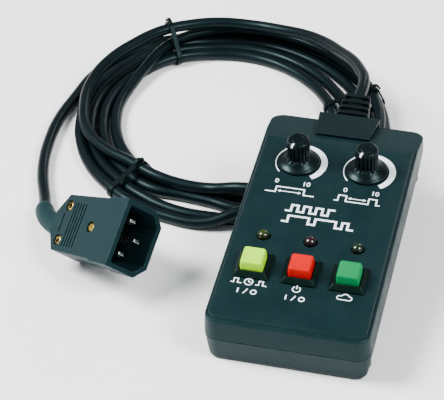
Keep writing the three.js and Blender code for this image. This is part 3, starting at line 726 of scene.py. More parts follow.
    @staticmethod
    @cache
    def sleeve() -> bpy.types.NodeTree:
        """A round sleeve along a line, tapering from its start to its end and drawn in a little at its very
        end.

        Returns:
            The tree.
        """
        number = "NodeSocketFloat"
        draft, source, result = new_group("tapered_sleeve", "GeometryNodeTree", {
            "Geometry": ("NodeSocketGeometry", None), "Start Radius": (number, 5.0),
            "End Radius": (number, 4.0), "Finish": ("NodeSocketMaterial", None)},
            {"Geometry": "NodeSocketGeometry"})
        line = draft.add("GeometryNodeMeshToCurve", source.outputs["Geometry"])
        along = draft.add("GeometryNodeSplineParameter").outputs["Factor"]
        radius = draft.add("ShaderNodeMapRange", along, 0.0, 1.0, source.outputs["Start Radius"],
                           source.outputs["End Radius"]).outputs[0]
        rim = draft.add("ShaderNodeMapRange", along, 0.93, 1.0, 0.0, 0.15).outputs[0]
        lip = draft.math("MULTIPLY", rim, source.outputs["End Radius"])
        size = draft.math("SUBTRACT", radius, lip)
        section = draft.add("GeometryNodeCurvePrimitiveCircle", mode="RADIUS", named={
            "Resolution": 36, "Radius": 1.0})
        swept = draft.add("GeometryNodeCurveToMesh", line.outputs[0], section.outputs[0])
        draft.feed(swept.inputs["Scale"], size)
        draft.feed(swept.inputs["Fill Caps"], True)
        Trees.close(draft, result, source, swept.outputs[0])
        return draft.tree


def line_mesh(points: Sequence[Vector], closed: bool, name: str) -> bpy.types.Mesh:
    """A mesh of edges through points in order."""
    count = len(points)
    edges = [(i, (i + 1) % count) for i in range(count if closed else count - 1)]
    mesh = bpy.data.meshes.new(name)
    mesh.from_pydata([tuple(p) for p in points], edges, [])
    return mesh


def outward(mesh: bpy.types.Mesh, merge: float = 1e-7) -> bpy.types.Mesh:
    """Merges a mesh's doubles and turns its faces outwards."""
    shape = bmesh.new()
    shape.from_mesh(mesh)
    bmesh.ops.remove_doubles(shape, verts=shape.verts, dist=merge)
    bmesh.ops.recalc_face_normals(shape, faces=shape.faces)
    shape.to_mesh(mesh)
    shape.free()
    return mesh


# ---- camera, light and floor --------------------------------------------------------------------
@dataclass
class Studio:
    """Camera, floor and soft lights."""

    place: tuple[float, float, float] = (0.11843, -0.65105, 0.50207)
    tilt_deg: float = 54.61
    turn_deg: float = 13.889
    lens: float = 162.13

    def camera(self) -> None:
        """Sets up the camera."""
        data = bpy.data.cameras.new("camera")
        data.lens = self.lens
        data.sensor_width = 36.0
        data.clip_start, data.clip_end = 0.02, 30.0
        eye = bpy.data.objects.new("camera", data)
        eye.location = self.place
        eye.rotation_euler = (math.radians(self.tilt_deg), 0.0, math.radians(self.turn_deg))
        bpy.context.scene.collection.objects.link(eye)
        bpy.context.scene.camera = eye

    def floor(self) -> None:
        """Lays a pale floor."""
        mesh = bpy.data.meshes.new("floor")
        half = 6.0
        corners = [(-half, -half, 0), (half, -half, 0), (half, half, 0), (-half, half, 0)]
        mesh.from_pydata(corners, [], [(0, 1, 2, 3)])
        ground = piece_of("floor", mesh)
        made, draft, shader = shader_of("floor_paper")
        place = draft.add("ShaderNodeTexCoord").outputs["Object"]
        noise = draft.add("ShaderNodeTexNoise", named={"Vector": place, "Scale": 60.0, "Detail": 3.0})
        tone = blended(draft, noise.outputs[0], linear("fbfcfc"), linear("ffffff"))
        draft.feed(shader.inputs["Base Color"], tone)
        shader.inputs["Roughness"].default_value = 0.9
        shader.inputs["Specular IOR Level"].default_value = 0.2
        ground.data.materials.append(made)

    def lamp(self, name: str, place: tuple[float, float, float], target: tuple[float, float, float],
             size: float, power: float) -> None:
        """Hangs one square soft light.

        Args:
            name: Its name.
            place: Where it hangs, in metres.
            target: What it faces.
            size: Its side, in metres.
            power: Its power, in watts.
        """
        data = bpy.data.lights.new(name, "AREA")
        data.shape, data.size, data.energy = "SQUARE", size, power
        lamp = bpy.data.objects.new(name, data)
        lamp.location = place
        lamp.rotation_euler = (Vector(target) - Vector(place)).to_track_quat("-Z", "Y").to_euler()
        bpy.context.scene.collection.objects.link(lamp)

    def light(self) -> None:
        """Lights the scene: an even sky and three soft boxes."""
        world = bpy.data.worlds.new("studio")
        world.use_nodes = True
        background = world.node_tree.nodes["Background"]
        background.inputs["Color"].default_value = (0.93, 0.98, 1.0, 1.0)
        background.inputs["Strength"].default_value = 0.4
        bpy.context.scene.world = world
        self.lamp("key", (-1.15, -0.35, 1.35), (-0.04, 0.03, 0.0), 0.7, 80.0)
        self.lamp("fill", (1.1, -0.5, 1.3), (-0.04, 0.03, 0.0), 0.7, 42.0)
        self.lamp("far", (0.35, 1.9, 0.9), (-0.04, 0.03, 0.0), 0.4, 5.0)

    def build(self) -> None:
        """Builds the camera, floor and lights."""
        self.camera()
        self.floor()
        self.light()


# ---- lead ---------------------------------------------------------------------------------------
@dataclass
class Lead:
    """The lead from the box round the coil to the plug, and the ties that hold it."""

    diameter: float = 5.2
    centre: tuple[float, float] = (-61.8, 89.6)
    turn_deg: float = 18.2
    half_width: float = 59.4
    half_length: float = 70.0
    bundle: float = 11.8
    spread: float = 0.18
    spread_towards_deg: float = -42.0
    start_deg: float = 88.6
    turns: float = 5.197
    steps: int = 26
    tie_degs: tuple[float, ...] = (112.0, 219.0, 8.0)
    low: float = 2.7
    lift: float = 1.1
    layer: float = 5.1
    inset: float = 2.1
    arrival_height: float = 15.4
    under_lift: float = 4.8
    way_out: float = 13.8
    tie_window: tuple[float, float] = (4, 16)
    loose_window: tuple[float, float, float] = (-112, 7, 18)
    under_window: tuple[float, float, float] = (-64, 20, 24)
    top_places: tuple[Point, ...] = (
        (0.0, 0.0), (0.1, 0.25), (0.19, 0.85), (0.24, 0.78), (0.37, -0.65), (0.45, -1.08), (0.57, 0.05),
        (0.74, 0.8), (0.97, 0.75), (1.17, -1.0), (1.2, -1.0))
    loose_places: tuple[float, ...] = (-14.0, -8.7, 2.9, 8.4)
    box_route: tuple[tuple[float, float, float], ...] = (
        (0, 73.0, 35.25), (0.4, 81.5, 36.1), (-0.4, 90, 36), (-3.8, 99.5, 34.5), (-9.3, 110.8, 32),
        (-17, 122.4, 28.5), (-27.6, 136.8, 24), (-37.7, 146.5, 20.5), (-51.8, 154, 17.2),
        (-65.3, 157.5, 15.6))
    plug_route: tuple[tuple[float, float, float], ...] = (
        (-137.9, 76, 2.7), (-136.9, 58.5, 2.7), (-134, 41, 2.7), (-130.4, 28.5, 2.7),
        (-127.1, 20, 2.8), (-124.2, 12.5, 3.3), (-122, 5.5, 4.3))

    def reach(self, angle: float) -> float:
        """Half the bundle's width at an angle round the coil, in millimetres."""
        return self.bundle * (1 + self.spread * math.cos(angle - math.radians(self.spread_towards_deg)))

    def spot(self, angle: float, out: float, height: float) -> Vector:
        """A point by its angle, its distance outside the middle line, and its height.

        Args:
            angle: Angle round the coil, in radians.
            out: Distance outside the bundle's middle line, in millimetres.
            height: Height, in millimetres.

        Returns:
            The point in the part's frame, in metres.
        """
        x = (self.half_width + out) * math.cos(angle)
        y = (self.half_length + out) * math.sin(angle)
        turn = math.radians(self.turn_deg)
        return Vector((self.centre[0] + x * math.cos(turn) - y * math.sin(turn),
                       self.centre[1] + x * math.sin(turn) + y * math.cos(turn), height)) * MM

    def near_tie(self, angle: float) -> float:
        """How much a tie lifts the bundle at an angle, from 0 to 1."""
        return max(self.window(angle, tie, *self.tie_window) for tie in self.tie_degs)

    def window(self, angle: float, middle_deg: float, full_deg: float, fade_deg: float) -> float:
        """A share that is 1 near one direction of the coil and fades to 0 beside it.

        Args:
            angle: Angle round the coil, in radians.
            middle_deg: The middle of the window.
            full_deg: How far to each side it stays 1.
            fade_deg: How far beyond that it has faded out.

        Returns:
            The share.
        """
        away = abs((math.degrees(angle) - middle_deg + 180) % 360 - 180)
        return 1 - smooth_step((away - full_deg) / fade_deg)

    def top_turn(self, run: float) -> float:
        """Where the first turn lies across the bundle, from -1 inside to 1 outside."""
        for (r0, s0), (r1, s1) in zip(self.top_places, self.top_places[1:]):
            if run <= r1:
                return s0 + (s1 - s0) * smooth_step((run - r0) / (r1 - r0))
        return self.top_places[-1][1]

    def strand(self, run: float) -> tuple[float, float, float]:
        """Where the lead is after a number of turns.

        Args:
            run: Turns since the lead met the coil.

        Returns:
            Angle in radians, distance outside the middle line and height in millimetres.
        """
        angle = math.radians(self.start_deg) + run * 2 * math.pi
        wide = self.reach(angle) - self.inset
        low = self.low + self.lift * self.near_tie(angle)
        loose = self.window(angle, *self.loose_window)
        under = self.window(angle, *self.under_window)
        wave = 0.3 * math.sin(run * 8.3 + 0.6) * (1 - under)
        if run < 1.2:
            drop = smooth_step((run - 1.02) / 0.18)
            height = low + self.layer * (1 - drop) - 0.5 * loose + self.under_lift * under
            height += max(0.0, self.arrival_height - low - self.layer) * (1 - smooth_step((run - 0.08) / 0.2))
            return angle, self.top_turn(run) * wide, height
        lane = math.floor(run) - 2 + smooth_step((run - math.floor(run)) / 0.2)
        whole = min(3, max(0, round(lane)))
        out = (-1 + lane * 2 / 3) * wide + wave
        out += (self.loose_places[whole] - out) * loose
        if whole == 3:
            out += (0.36 * wide - out) * under
            low += (self.layer + 0.1) * min(1.0, 1.5 * under)
        if run > 5:
            out = wide + (self.way_out - wide) * smooth_step((run - 5.0) / 0.197)
        return angle, out, low

    def path(self) -> list[Vector]:
        """The lead's middle line, from the box to the plug, in metres."""
        points = [Vector(p) * MM for p in self.box_route]
        count = round(self.turns * self.steps)
        points += [self.spot(*self.strand(self.turns * i / count)) for i in range(count + 1)]
        points += [Vector(p) * MM for p in self.plug_route]
        return points

    def cord(self) -> bpy.types.Object:
        """Draws the lead as one smooth curve.

        Returns:
            The cord.
        """
        points = self.path()
        data = bpy.data.curves.new("lead", "CURVE")
        data.dimensions = "3D"
        data.bevel_depth = self.diameter / 2 * MM
        data.bevel_resolution = 5
        data.resolution_u = 5
        data.use_fill_caps = True
        line = data.splines.new("BEZIER")
        line.bezier_points.add(len(points) - 1)
        for knot, place in zip(line.bezier_points, points):
            knot.co = place
            knot.handle_left_type = knot.handle_right_type = "AUTO"
        made = bpy.data.objects.new("lead", data)
        bpy.context.scene.collection.objects.link(made)
        return made

    def length(self) -> float:
        """The lead's length along its smooth line, in metres."""
        points = self.path()
        total = 0.0
        for i in range(len(points) - 1):
            before, start, end, after = (points[max(i - 1, 0)], points[i], points[i + 1],
                                         points[min(i + 2, len(points) - 1)])
            last = start
            for k in range(1, 9):
                t = k / 8
                place = 0.5 * (2 * start + (end - before) * t
                               + (2 * before - 5 * start + 4 * end - after) * t * t
                               + (3 * start - before - 3 * end + after) * t ** 3)
                total += (place - last).length
                last = place
        return total

    def section(self, tie_deg: float) -> list[Point]:
        """Where the strands cross a tie: distance outside the middle line and height."""
        found = []
        for turn in range(7):
            run = (tie_deg - self.start_deg) / 360 + turn
            if 0 <= run <= self.turns:
                _, out, height = self.strand(run)
                found.append((out, height))
        return found

    def hull(self, centres: Sequence[Point], radius: float) -> list[Point]:
        """The tight line round circles.

        Args:
            centres: The circles' middles.
            radius: Their radius.

        Returns:
            Points of the line, counterclockwise.
        """
        cloud = sorted({(round(x + radius * math.cos(a * math.pi / 16), 4),
                         round(y + radius * math.sin(a * math.pi / 16), 4))
                        for x, y in centres for a in range(32)})

        def half(points: Sequence[Point]) -> list[Point]:
            """One half of the hull."""
            kept: list[Point] = []
            for p in points:
                while len(kept) > 1 and ((kept[-1][0] - kept[-2][0]) * (p[1] - kept[-2][1])
                                         <= (kept[-1][1] - kept[-2][1]) * (p[0] - kept[-2][0])):
                    kept.pop()
                kept.append(p)
            return kept[:-1]
        return half(cloud) + half(cloud[::-1])

    def tie(self, number: int) -> bpy.types.Object:
        """Makes one tie: a band round the strands, with a bent tail on top.

        Args:
            number: Which tie, from 1.

        Returns:
            The tie.
        """
        angle = math.radians(self.tie_degs[number - 1])
        band = self.hull(self.section(self.tie_degs[number - 1]), self.diameter / 2 + 0.5)
        top = max(y for _, y in band)
        crest = max(x for x, y in band if y > top - 0.05)
        tail = [(crest - 1.6, top + 0.7), (crest - 0.4, top + 0.85), (crest + 0.5, top + 1.5),
                (crest + 1.4, top + 1.6), (crest + 2.4, top + 0.9), (crest + 3.2, top - 0.3)]
        values = {"Thickness": 0.9, "Width": 2.6, "Corner": 0.35, "Finish": Finish.TIE.material()}
        parts = []
        for points, closed in ((band, True), (tail, False)):
            line = line_mesh([Vector((x, y, 0)) for x, y in points], closed, "tie_line")
            parts.append(outward(Trees.grow("tie_part", line, Trees.strap(), values)))
            values = {**values, "Width": 1.8}
        mesh = joined(parts, f"tie_{number}")
        middle = self.spot(angle, 0, 0)
        radial = (self.spot(angle, 1, 0) - middle).normalized()
        up = Vector((0, 0, 1))
        turn = Matrix((radial, up, radial.cross(up))).transposed().to_4x4()
        stretch = Matrix.Diagonal(((self.spot(angle, 1, 0) - middle).length / MM, 1, 1, 1))
        mesh.transform(Matrix.Translation(middle) @ turn @ Matrix.Scale(MM, 4) @ stretch)
        return piece_of(f"lead_tie_{number}", shaded(outward(mesh), 40))

    def build(self) -> None:
        cord = self.cord()
        settle(cord, "remote", Finish.CORD, ("box_lead", "plug_lead", "cord_coil"))
        ties = [settle(self.tie(k), "remote", Finish.TIE, (f"coil_tie_{k}",)) for k in (1, 2, 3)]
        plug = [bpy.data.objects[name] for name in Plug.names() if name in bpy.data.objects]
        length = self.length()
        LOG.info("the lead is %.3f m long", length)


# ---- plug ---------------------------------------------------------------------------------------
@dataclass
class Plug:
    """The rewirable appliance plug: two halves, insert, pins, screws and boot."""

    PINS: ClassVar[tuple[str, ...]] = ("live", "earth", "neutral")
    SCREWS: ClassVar[tuple[int, ...]] = (1, 2, 3)

    length: float = 44.4
    boot_start: float = 5.0
    boot_end: float = 4.0
    # Depth, half width and half height of the mouth's inside, where the faces get painted shade.
    mouth_inside: tuple[float, float, float] = (-25.0, 12.35, 8.35)
    lead_start: tuple[float, float, float] = (-122, 5.5, 4.3)
    lead_next: tuple[float, float, float] = (-124.2, 12.5, 3.3)

    @staticmethod
    def names() -> list[str]:
        """The plug's pieces."""
        return ["plug_cover_moulding", "plug_base_moulding", "plug_insert_moulding", "plug_boot_sleeve",
                *(f"plug_pin_{pin}_blade" for pin in Plug.PINS),
                *(f"plug_screw_{k}_head" for k in Plug.SCREWS)]

    def boot(self) -> bpy.types.Object:
        """Makes the flexible boot between the plug and its lead.

        Returns:
            The boot.
        """
        home = Frames.plug()
        start = home @ Vector((-self.length + 0.6, 0, 0))
        inward = (home.to_3x3() @ Vector((-1, 0, 0))).normalized()
        finish = Vector(self.lead_start) * MM
        onward = (Vector(self.lead_next) * MM - finish).normalized()
        reach = (finish - start).length
        knots = (start, start + inward * reach * 0.45, finish - onward * reach * 0.35, finish)
        points = []
        for i in range(25):
            t = i / 24
            weights = ((1 - t) ** 3, 3 * t * (1 - t) ** 2, 3 * t * t * (1 - t), t ** 3)
            points.append(sum((k * w for k, w in zip(knots, weights)), Vector()))
        mesh = Trees.grow("boot", line_mesh(points, False, "boot_line"), Trees.sleeve(), {
            "Start Radius": self.boot_start * MM, "End Radius": self.boot_end * MM,
            "Finish": Finish.BOOT.material()})
        return piece_of("plug_boot_sleeve", shaded(outward(mesh), 50))

    def paint_mouth_shade(self, piece: bpy.types.Object) -> None:
        """Paints shade inside the mouth: the faces there get the insert's dark plastic as painted shade.

        Args:
            piece: A dressed half of the plug.
        """
        # Painted shade: faces deep inside the mouth take the insert's dark plastic.
        piece.data.materials.append(Finish.INSERT.material())
        back = Frames.plug().inverted()
        deep, half_wide, half_tall = self.mouth_inside
        for face in piece.data.polygons:
            spot = back @ face.center / MM
            if spot.x > deep and abs(spot.y) < half_wide and abs(spot.z) < half_tall:
                face.material_index = 1

    def build(self) -> None:
        """Builds the plug's pieces."""
        rows = [("plug_cover", 0.1, "plug_cover_moulding", "plug_black", Finish.PLUG),
                ("plug_base", 0.3, "plug_base_moulding", "plug_black", Finish.PLUG),
                ("plug_insert", 0.2, "plug_insert_moulding", "insert_black", Finish.INSERT)]
        rows += [(f"plug_pin_{pin}", 0.2, f"plug_pin_{pin}_blade", "pin_nickel", Finish.NICKEL)
                 for pin in self.PINS]
        rows += [(f"plug_screw_{k}", 0.15, f"plug_screw_{k}_head", "screw_brass", Finish.BRASS)
                 for k in self.SCREWS]
        for node, width, name, slot, finish in rows:
            shape = eased_copy(node, width, merge_flats=node != "plug_cover")
            piece = settle(piece_of(name, shape), "remote", finish, (node,))
            # The two halves get painted shade inside their mouth.
            if finish is Finish.PLUG:
                self.paint_mouth_shade(piece)
        settle(self.boot(), "remote", Finish.BOOT, ("plug_boot",))


# ---- hand box -----------------------------------------------------------------------------------
@dataclass
class Shells:
    """The two shells with their screws."""

    def build(self) -> None:
        """Builds both shells and the case screws."""
        for node in ("upper_shell", "lower_shell"):
            settle(piece_of(node + "_moulding", eased_copy(node, 0.25, 2, 30.0)), "remote",
                   Finish.SHELL, (node,))
        for k in range(1, 5):
            dress_node(f"case_screw_{k}", Finish.ZINC)


@dataclass
class Dials:
    """The two dials: fluted knob, index line, shaft and potentiometer."""

    place_x: float = 14.2
    place_y: float = 92.5
    deck: float = 24.0
    height: float = 12.8
    skirt: float = 8.5
    grip: float = 4.75
    bore: float = 3.3
    stop_deg: float = 246.0

    def profile(self) -> list[Vector]:
        """The knob's profile line, with rounded corners."""
        corners = [(0, 11, 0), (self.bore, 11, 0.1), (self.bore, 0.5, 0.3), (self.skirt, 0.5, 0.25),
                   (self.skirt, 1.15, 0.3), (6.9, 2.1, 2.0), (5.3, 3.7, 1.5), (self.grip, 4.6, 0.8),
                   (self.grip, self.height - 0.95, 0.9), (self.grip - 0.75, self.height, 0.4),
                   (2.6, self.height, 0.3), (2.3, self.height - 0.25, 0.3), (0, self.height - 0.25, 0)]
        points: list[Vector] = []
        for i, (radius, z, ease) in enumerate(corners):
            here = Vector((radius, 0, z))
            if not ease:
                points.append(here)
                continue
            before = Vector((corners[i - 1][0], 0, corners[i - 1][1])) - here
            after = Vector((corners[i + 1][0], 0, corners[i + 1][1])) - here
            size = min(ease, before.length * 0.45, after.length * 0.45)
            first, last = here + before.normalized() * size, here + after.normalized() * size
            for k in range(5):
                t = k / 4
                points.append(first * (1 - t) ** 2 + here * 2 * t * (1 - t) + last * t * t)
        return points

    def knob(self, name: str, home: Matrix) -> bpy.types.Object:
        """Makes one knob.

        Args:
            name: The piece's name.
            home: The knob's frame, on the deck.

        Returns:
            The knob.
        """
        mesh = Trees.grow(name, line_mesh(self.profile(), False, "knob_line"), Trees.fluted(), {
            "Flutes": 18, "Flute Depth": 0.5, "Flute Foot": 3.4, "Flute Top": self.height - 1.3,
            "Flute Inside": 3.7, "Around": 18 * 12 + 1, "Along": 110, "Finish": Finish.KNOB.material()})
        mesh.transform(home)
        return piece_of(name, shaded(outward(mesh, 3e-6), 45))

    def index(self, name: str, home: Matrix) -> bpy.types.Object:
        """Makes the painted index line on a knob's crown.

        Args:
            name: The piece's name.
            home: The knob's frame, on the deck.

        Returns:
            The index line.
        """
        line = [(3.1, self.height + 0.03), (3.95, self.height + 0.03), (4.35, self.height - 0.25),
                (4.72, self.height - 0.75), (4.8, self.height - 1.2)]
        rings = []
        for radius, z in line:
            rings.append([Vector((radius + dx, y, z + dz)) for y, dx, dz in (
                (-0.4, 0, 0), (0.4, 0, 0), (0.4, -0.12, -0.12), (-0.4, -0.12, -0.12))])
        mesh = skin(rings, name)
        mesh.transform(home @ Matrix.Rotation(math.radians(self.stop_deg), 4, "Z"))
        return piece_of(name, shaded(outward(mesh), 50))

    def build(self) -> None:
        """Builds both dials."""
        for side, body in ((-1, "left_dial"), (1, "right_dial")):
            home = Frames.box() @ Matrix.Translation((side * self.place_x, self.place_y, self.deck))
            settle(self.knob(body + "_fluted_knob", home), body, Finish.KNOB, (body + "_knob",))
            settle(self.index(body + "_index", home), body, Finish.INDEX, (body + "_pointer",))
            dress_node(body + "_shaft", Finish.STEEL)
            dress_node(body + "_potentiometer", Finish.POT)


@dataclass
class Columns:
    """Three columns of lamp, bezel, cap and switch."""

    pitch: float = 19.0
    button_y: float = 31.0
    lamp_y: float = 48.0
    deck: float = 24.0
    cap: float = 9.2
    cap_height: float = 6.5
    lamp_radius: float = 2.5

    def key_cap(self, name: str, column: int) -> bpy.types.Object:
        """Makes a button cap with soft edges.

        Args:
            name: The piece's name.
            column: -1, 0 or 1.

        Returns:
            The cap.
        """
        half, top = self.cap / 2, self.deck + self.cap_height
        levels = [(20.2, 0.0), (top - 2.6, 0.0)]
        for k in range(1, 7):
            angle = k * math.pi / 12
            levels.append((top - 0.95 + 0.95 * math.sin(angle), 0.2 + 0.95 * (1 - math.cos(angle))))
        rings = [[Vector((column * self.pitch + x, self.button_y + y, z)) for x, y in rounded_outline(
            half - inset, half - inset, max(1.15 - inset * 0.4, 0.5), 6)] for z, inset in levels]
        stem = [[Vector((column * self.pitch + 1.7 * math.cos(a * math.pi / 12),
                         self.button_y + 1.7 * math.sin(a * math.pi / 12), z)) for a in range(24)]
                for z in (15.4, 20.3)]
        mesh = joined([skin(rings, "cap_body"), skin(stem, "cap_stem")], name)
        mesh.transform(Frames.box())
        return piece_of(name, shaded(outward(mesh), 40))

    def lens(self, name: str, column: int) -> bpy.types.Object:
        """Makes a lamp's domed body with its rim.

        Args:
            name: The piece's name.
            column: -1, 0 or 1.

        Returns:
            The lamp.
        """
        shoulder, radius = self.deck + 0.35, self.lamp_radius
        line = [(2.9, 17.4), (2.9, 18.4), (radius, 18.45), (radius, shoulder)]
        line += [(radius * math.cos(k * math.pi / 20), shoulder + 2.25 * math.sin(k * math.pi / 20))
                 for k in range(1, 10)]
        rings = [[Vector((column * self.pitch + r * math.cos(a * math.pi / 20),
                          self.lamp_y + r * math.sin(a * math.pi / 20), z)) for a in range(40)]
                 for r, z in line]
        mesh = skin(rings, name)
        mesh.transform(Frames.box())
        return piece_of(name, shaded(outward(mesh), 50))

    def build(self) -> None:
        """Builds the three columns."""
        for column, name, cap, lens in ((-1, "timer", Finish.YELLOW, Finish.YELLOW_LENS),
                                        (0, "power", Finish.RED, Finish.RED_LENS),
                                        (1, "fog", Finish.GREEN, Finish.GREEN_LENS)):
            settle(self.key_cap(name + "_key_cap", column), name + "_button", cap,
                   (name + "_button_cap",))
            settle(self.lens(name + "_lens", column), "remote", lens, (name + "_lamp",))
            settle(piece_of(name + "_bezel_frame", eased_copy(name + "_button_bezel", 0.18)), "remote",
                   Finish.BEZEL, (name + "_button_bezel",))
            dress_node(name + "_button_switch", Finish.SWITCH)


@dataclass
class DeckPrint:
    """White print on the deck: dial scales, dial digits, pulse graphics and button symbols."""

    deck: float = 24.0
    thick: float = 0.035
    clear: float = 0.005
    dial_at: Point = (14.2, 92.5)
    digit_row: float = 80.1
    digit_size: float = 3.4
    fine_line: float = 0.45
    caption_line: float = 0.6
    title_line: float = 0.95
    marks_row: float = 17.3
    scale_inner: float = 9.3
    scale_outer: float = 10.75
    scale_shift: float = 1.2

    def __post_init__(self) -> None:
        """Starts an empty print."""
        self.shape = bmesh.new()

    def fill(self, outline: Sequence[Point]) -> None:
        """Prints one filled outline, given counterclockwise."""
        base = self.deck + self.clear
        low = [self.shape.verts.new((x, y, base)) for x, y in outline]
        high = [self.shape.verts.new((x, y, base + self.thick)) for x, y in outline]
        self.shape.faces.new(high)
        self.shape.faces.new(low[::-1])
        for i, _ in enumerate(low):
            k = (i + 1) % len(low)
            self.shape.faces.new((low[i], low[k], high[k], high[i]))

    def band(self, outer: Sequence[Point], inner: Sequence[Point], closed: bool) -> None:
        """Prints the strip between two lines of equal count."""
        count = len(outer)
        for i in range(count if closed else count - 1):
            k = (i + 1) % count
            self.fill([inner[i], inner[k], outer[k], outer[i]][::-1])

    def stroke(self, points: Sequence[Point], width: float, closed: bool = False) -> None:
        """Prints a line of even width with mitred corners.

        Args:
            points: The line's points.
            width: Its width.
            closed: Whether it returns to its start.
        """
        count = len(points)
        sides: tuple[list[Point], list[Point]] = ([], [])
        for i, (x, y) in enumerate(points):
            before = points[i - 1] if closed or i else None
            after = points[(i + 1) % count] if closed or i < count - 1 else None
            ways = []
            if before:
                ways.append(Vector((x - before[0], y - before[1])).normalized())
            if after:
                ways.append(Vector((after[0] - x, after[1] - y)).normalized())
            along = sum(ways, Vector((0, 0))).normalized()
            across = Vector((-along.y, along.x))
            reach = width / 2 / max(0.35, across.dot(Vector((-ways[0].y, ways[0].x))))
            sides[0].append((x + across.x * reach, y + across.y * reach))
            sides[1].append((x - across.x * reach, y - across.y * reach))
        self.band(sides[0], sides[1], closed)

    def arc(self, x: float, y: float, radius: float, start_deg: float, end_deg: float) -> list[Point]:
        """Points along an arc."""
        steps = max(6, int(abs(end_deg - start_deg) / 10))
        return [(x + radius * math.cos(math.radians(start_deg + (end_deg - start_deg) * i / steps)),
                 y + radius * math.sin(math.radians(start_deg + (end_deg - start_deg) * i / steps)))
                for i in range(steps + 1)]

    def scale(self, x: float, y: float) -> None:
        """Prints a dial's crescent scale, thin at the low end and thick at the high end."""
        inner, outer = [], []
        for i in range(61):
            angle = math.radians(225 - 275 * i / 60)
            reach, shift = self.scale_inner, self.scale_shift
            inner.append((x + reach * math.cos(angle), y + reach * math.sin(angle)))
            far = shift * math.cos(angle) + math.sqrt(self.scale_outer ** 2 - (shift * math.sin(angle)) ** 2)
            far = max(far, reach + 0.12)
            outer.append((x + far * math.cos(angle), y + far * math.sin(angle)))
        self.band(outer, inner, False)

    def digits(self, text: str, x: float, y: float, size: float) -> None:
        """Prints a number, centred on a point."""
        font = bpy.data.curves.new("digits", "FONT")
        font.body, font.size, font.align_x, font.align_y = text, size, "CENTER", "CENTER"
        font.extrude = self.thick / 2
        font.offset = 0.04
        font.resolution_u = 4
        holder = bpy.data.objects.new("digits", font)
        bpy.context.scene.collection.objects.link(holder)
        mesh = evaluated(holder)
        mesh.transform(Matrix.Translation((x, y, self.deck + self.clear + self.thick / 2)))
        self.shape.from_mesh(mesh)

    def pulses(self, x: float, y: float, steps: Sequence[float], height: float, width: float) -> None:
        """Prints a square wave from a point: each step is a run, and the level changes between runs."""
        points, level = [(x, y)], 0
        for run in steps:
            x += run
            points.append((x, y + height * level))
            level = 1 - level
            points.append((x, y + height * level))
        self.stroke(points[:-1], width)

    def arrows(self, x0: float, x1: float, y: float) -> None:
        """Prints a small double arrow between two places."""
        self.stroke([(x0 + 0.8, y), (x1 - 0.8, y)], 0.4)
        self.fill([(x0, y), (x0 + 1.3, y - 0.75), (x0 + 1.3, y + 0.75)])
        self.fill([(x1, y), (x1 - 1.3, y + 0.75), (x1 - 1.3, y - 0.75)])

    def on_off(self, x: float, y: float) -> None:
        """Prints the on and off marks, a stroke and a ring, with a slash between them."""
        self.stroke([(x - 3.2, y - 1.2), (x - 3.2, y + 1.2)], 0.55)
        self.stroke([(x - 0.9, y - 1.3), (x + 0.5, y + 1.3)], 0.45)
        self.stroke(self.arc(x + 3.0, y, 1.05, 0, 350)[:-1], 0.5, True)

    def symbols(self) -> None:
        """Prints the marks under the three buttons."""
        x, y = -19.0, 22.3
        self.stroke(self.arc(x, y, 1.6, 0, 350)[:-1], self.fine_line, True)
        self.stroke([(x, y + 1.0), (x, y), (x + 0.8, y)], 0.4)
        for shift in (-7.0, 2.9):
            self.pulses(x + shift, y - 1.1, (1.2, 1.6, 1.6), 2.2, self.fine_line)
        self.on_off(x, self.marks_row)
        x = 0.0
        self.stroke(self.arc(x, y - 0.2, 1.5, 125, 415), self.fine_line)
        self.stroke([(x, y), (x, y + 2.0)], self.fine_line)
        self.on_off(x, self.marks_row)
        x, y = 19.0, 21.4
        cloud = (self.arc(x + 1.9, y - 0.1, 1.0, -90, 60) + self.arc(x + 0.3, y + 0.5, 1.45, 20, 160)
                 + self.arc(x - 1.9, y - 0.1, 1.0, 120, 270))
        self.stroke(cloud, self.fine_line, True)

    def build(self) -> None:
        """Prints everything and joins it into one piece."""
        for side in (-1, 1):
            x = side * self.dial_at[0]
            self.scale(x, self.dial_at[1])
            for text, shift in (("0", -6.4), ("10", 5.8)):
                self.digits(text, x + shift, self.digit_row, self.digit_size)
        self.pulses(-24.2, 73.7, (4.2, 11.6, 4.4), 3.2, self.caption_line)
        self.arrows(-19.2, -9.4, 74.6)
        self.pulses(4.2, 73.7, (1.6, 3.2, 9.2, 3.2, 1.6), 3.2, self.caption_line)
        self.arrows(9.7, 17.3, 75.6)
        self.pulses(-13.8, 64.0, (2.4, 2.6) * 4, 3.5, self.title_line)
        self.pulses(-14.0, 57.8, (2.4, 8.4, 2.6, 8.4, 2.6, 2.4, 2.4), 3.5, self.title_line)
        self.symbols()
        mesh = bpy.data.meshes.new("deck_print")
        self.shape.to_mesh(mesh)
        self.shape.free()
        mesh.transform(Frames.box())
        settle(piece_of("deck_print", outward(mesh)), "remote", Finish.INK)


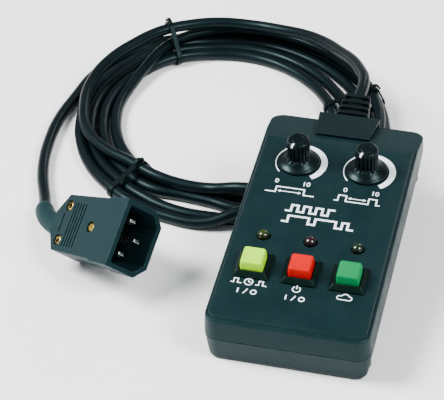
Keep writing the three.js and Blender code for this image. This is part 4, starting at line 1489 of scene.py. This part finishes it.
@dataclass
class CableEnd:
    """The hanger clip with its screws, and the strain relief."""

    middle: float = 12.8

    def slab(self, y0: float, y1: float, half_x: float, half_z: float, radius: float = 1.6,
             ease: float = 0.25) -> bpy.types.Mesh:
        """A rounded plate across the lead, with eased rims.

        Args:
            y0: Its near side.
            y1: Its far side.
            half_x: Half its width.
            half_z: Half its height.
            radius: Its corners' radius.
            ease: How far its rims are rounded.

        Returns:
            The plate about its own middle height.
        """
        levels = [(y0, ease), (y0 + ease * 0.3, ease * 0.3), (y0 + ease, 0), (y1 - ease, 0),
                  (y1 - ease * 0.3, ease * 0.3), (y1, ease)]
        return skin([[Vector((x, y, z)) for x, z in rounded_outline(half_x - i, half_z - i, radius - i, 6)]
                     for y, i in levels], "plate")

    def relief(self) -> bpy.types.Object:
        """Makes the ribbed strain relief.

        Returns:
            The strain relief.
        """
        rib = self.slab(-0.9, 0.9, 7.0, 4.8, 1.8, 0.45)
        ribs = Trees.grow("relief_ribs", rib, Trees.repeated(), {
            "Count": 4, "Start": (0.0, 134.5, 0.0), "Pitch": (0.0, 3.9, 0.0), "Taper X": 0.4 / 7,
            "Taper Z": 0.2 / 4.8, "Finish": Finish.RELIEF.material()})
        core = skin([[Vector((x, y, z)) for x, z in rounded_outline(w, h, r, 6)] for y, w, h, r in (
            (123.4, 4.4, 3.4, 1.8), (132, 4.4, 3.4, 1.8), (143, 4.2, 3.4, 2.4), (146.4, 3.7, 3.4, 3.2),
            (147.2, 3.3, 3.2, 3.1))], "core")
        parts = [core, ribs, self.slab(123.4, 125.1, 6.2, 2.8), self.slab(130.1, 132.0, 7.2, 5.0, 1.8, 0.35)]
        mesh = joined(parts, "relief")
        mesh.transform(Frames.box() @ Matrix.Translation((0, 0, self.middle)))
        return piece_of("ribbed_relief", shaded(outward(mesh), 45))

    def build(self) -> None:
        """Builds the cable end."""
        settle(self.relief(), "remote", Finish.RELIEF, ("strain_relief",))
        settle(piece_of("hanger_plate", eased_copy("hanger_clip", 0.28, 3)), "remote",
               Finish.CLIP, ("hanger_clip",))
        for k in (1, 2):
            dress_node(f"hanger_screw_{k}", Finish.ZINC)


@dataclass
class Inside:
    """What the box hides: board, chip, terminal and the lead's inner end."""

    def build(self) -> None:
        """Dresses the hidden pieces."""
        for node, slot, finish in (("circuit_board", "board_green", Finish.BOARD),
                                   ("timer_chip", "chip_black", Finish.CHIP),
                                   ("lead_terminal", "terminal_green", Finish.TERMINAL),
                                   ("lead_tail", "cord_black", Finish.CORD)):
            dress_node(node, finish)


def main() -> None:
    """Builds the remote's looks in order and notes the lead's length."""
    logging.basicConfig(level=logging.INFO, format="%(name)s: %(message)s")
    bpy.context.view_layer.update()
    Studio().build()
    Plug().build()
    Lead().build()
    Shells().build()
    Dials().build()
    Columns().build()
    DeckPrint().build()
    CableEnd().build()
    Inside().build()


if __name__ == "__main__":
    main()
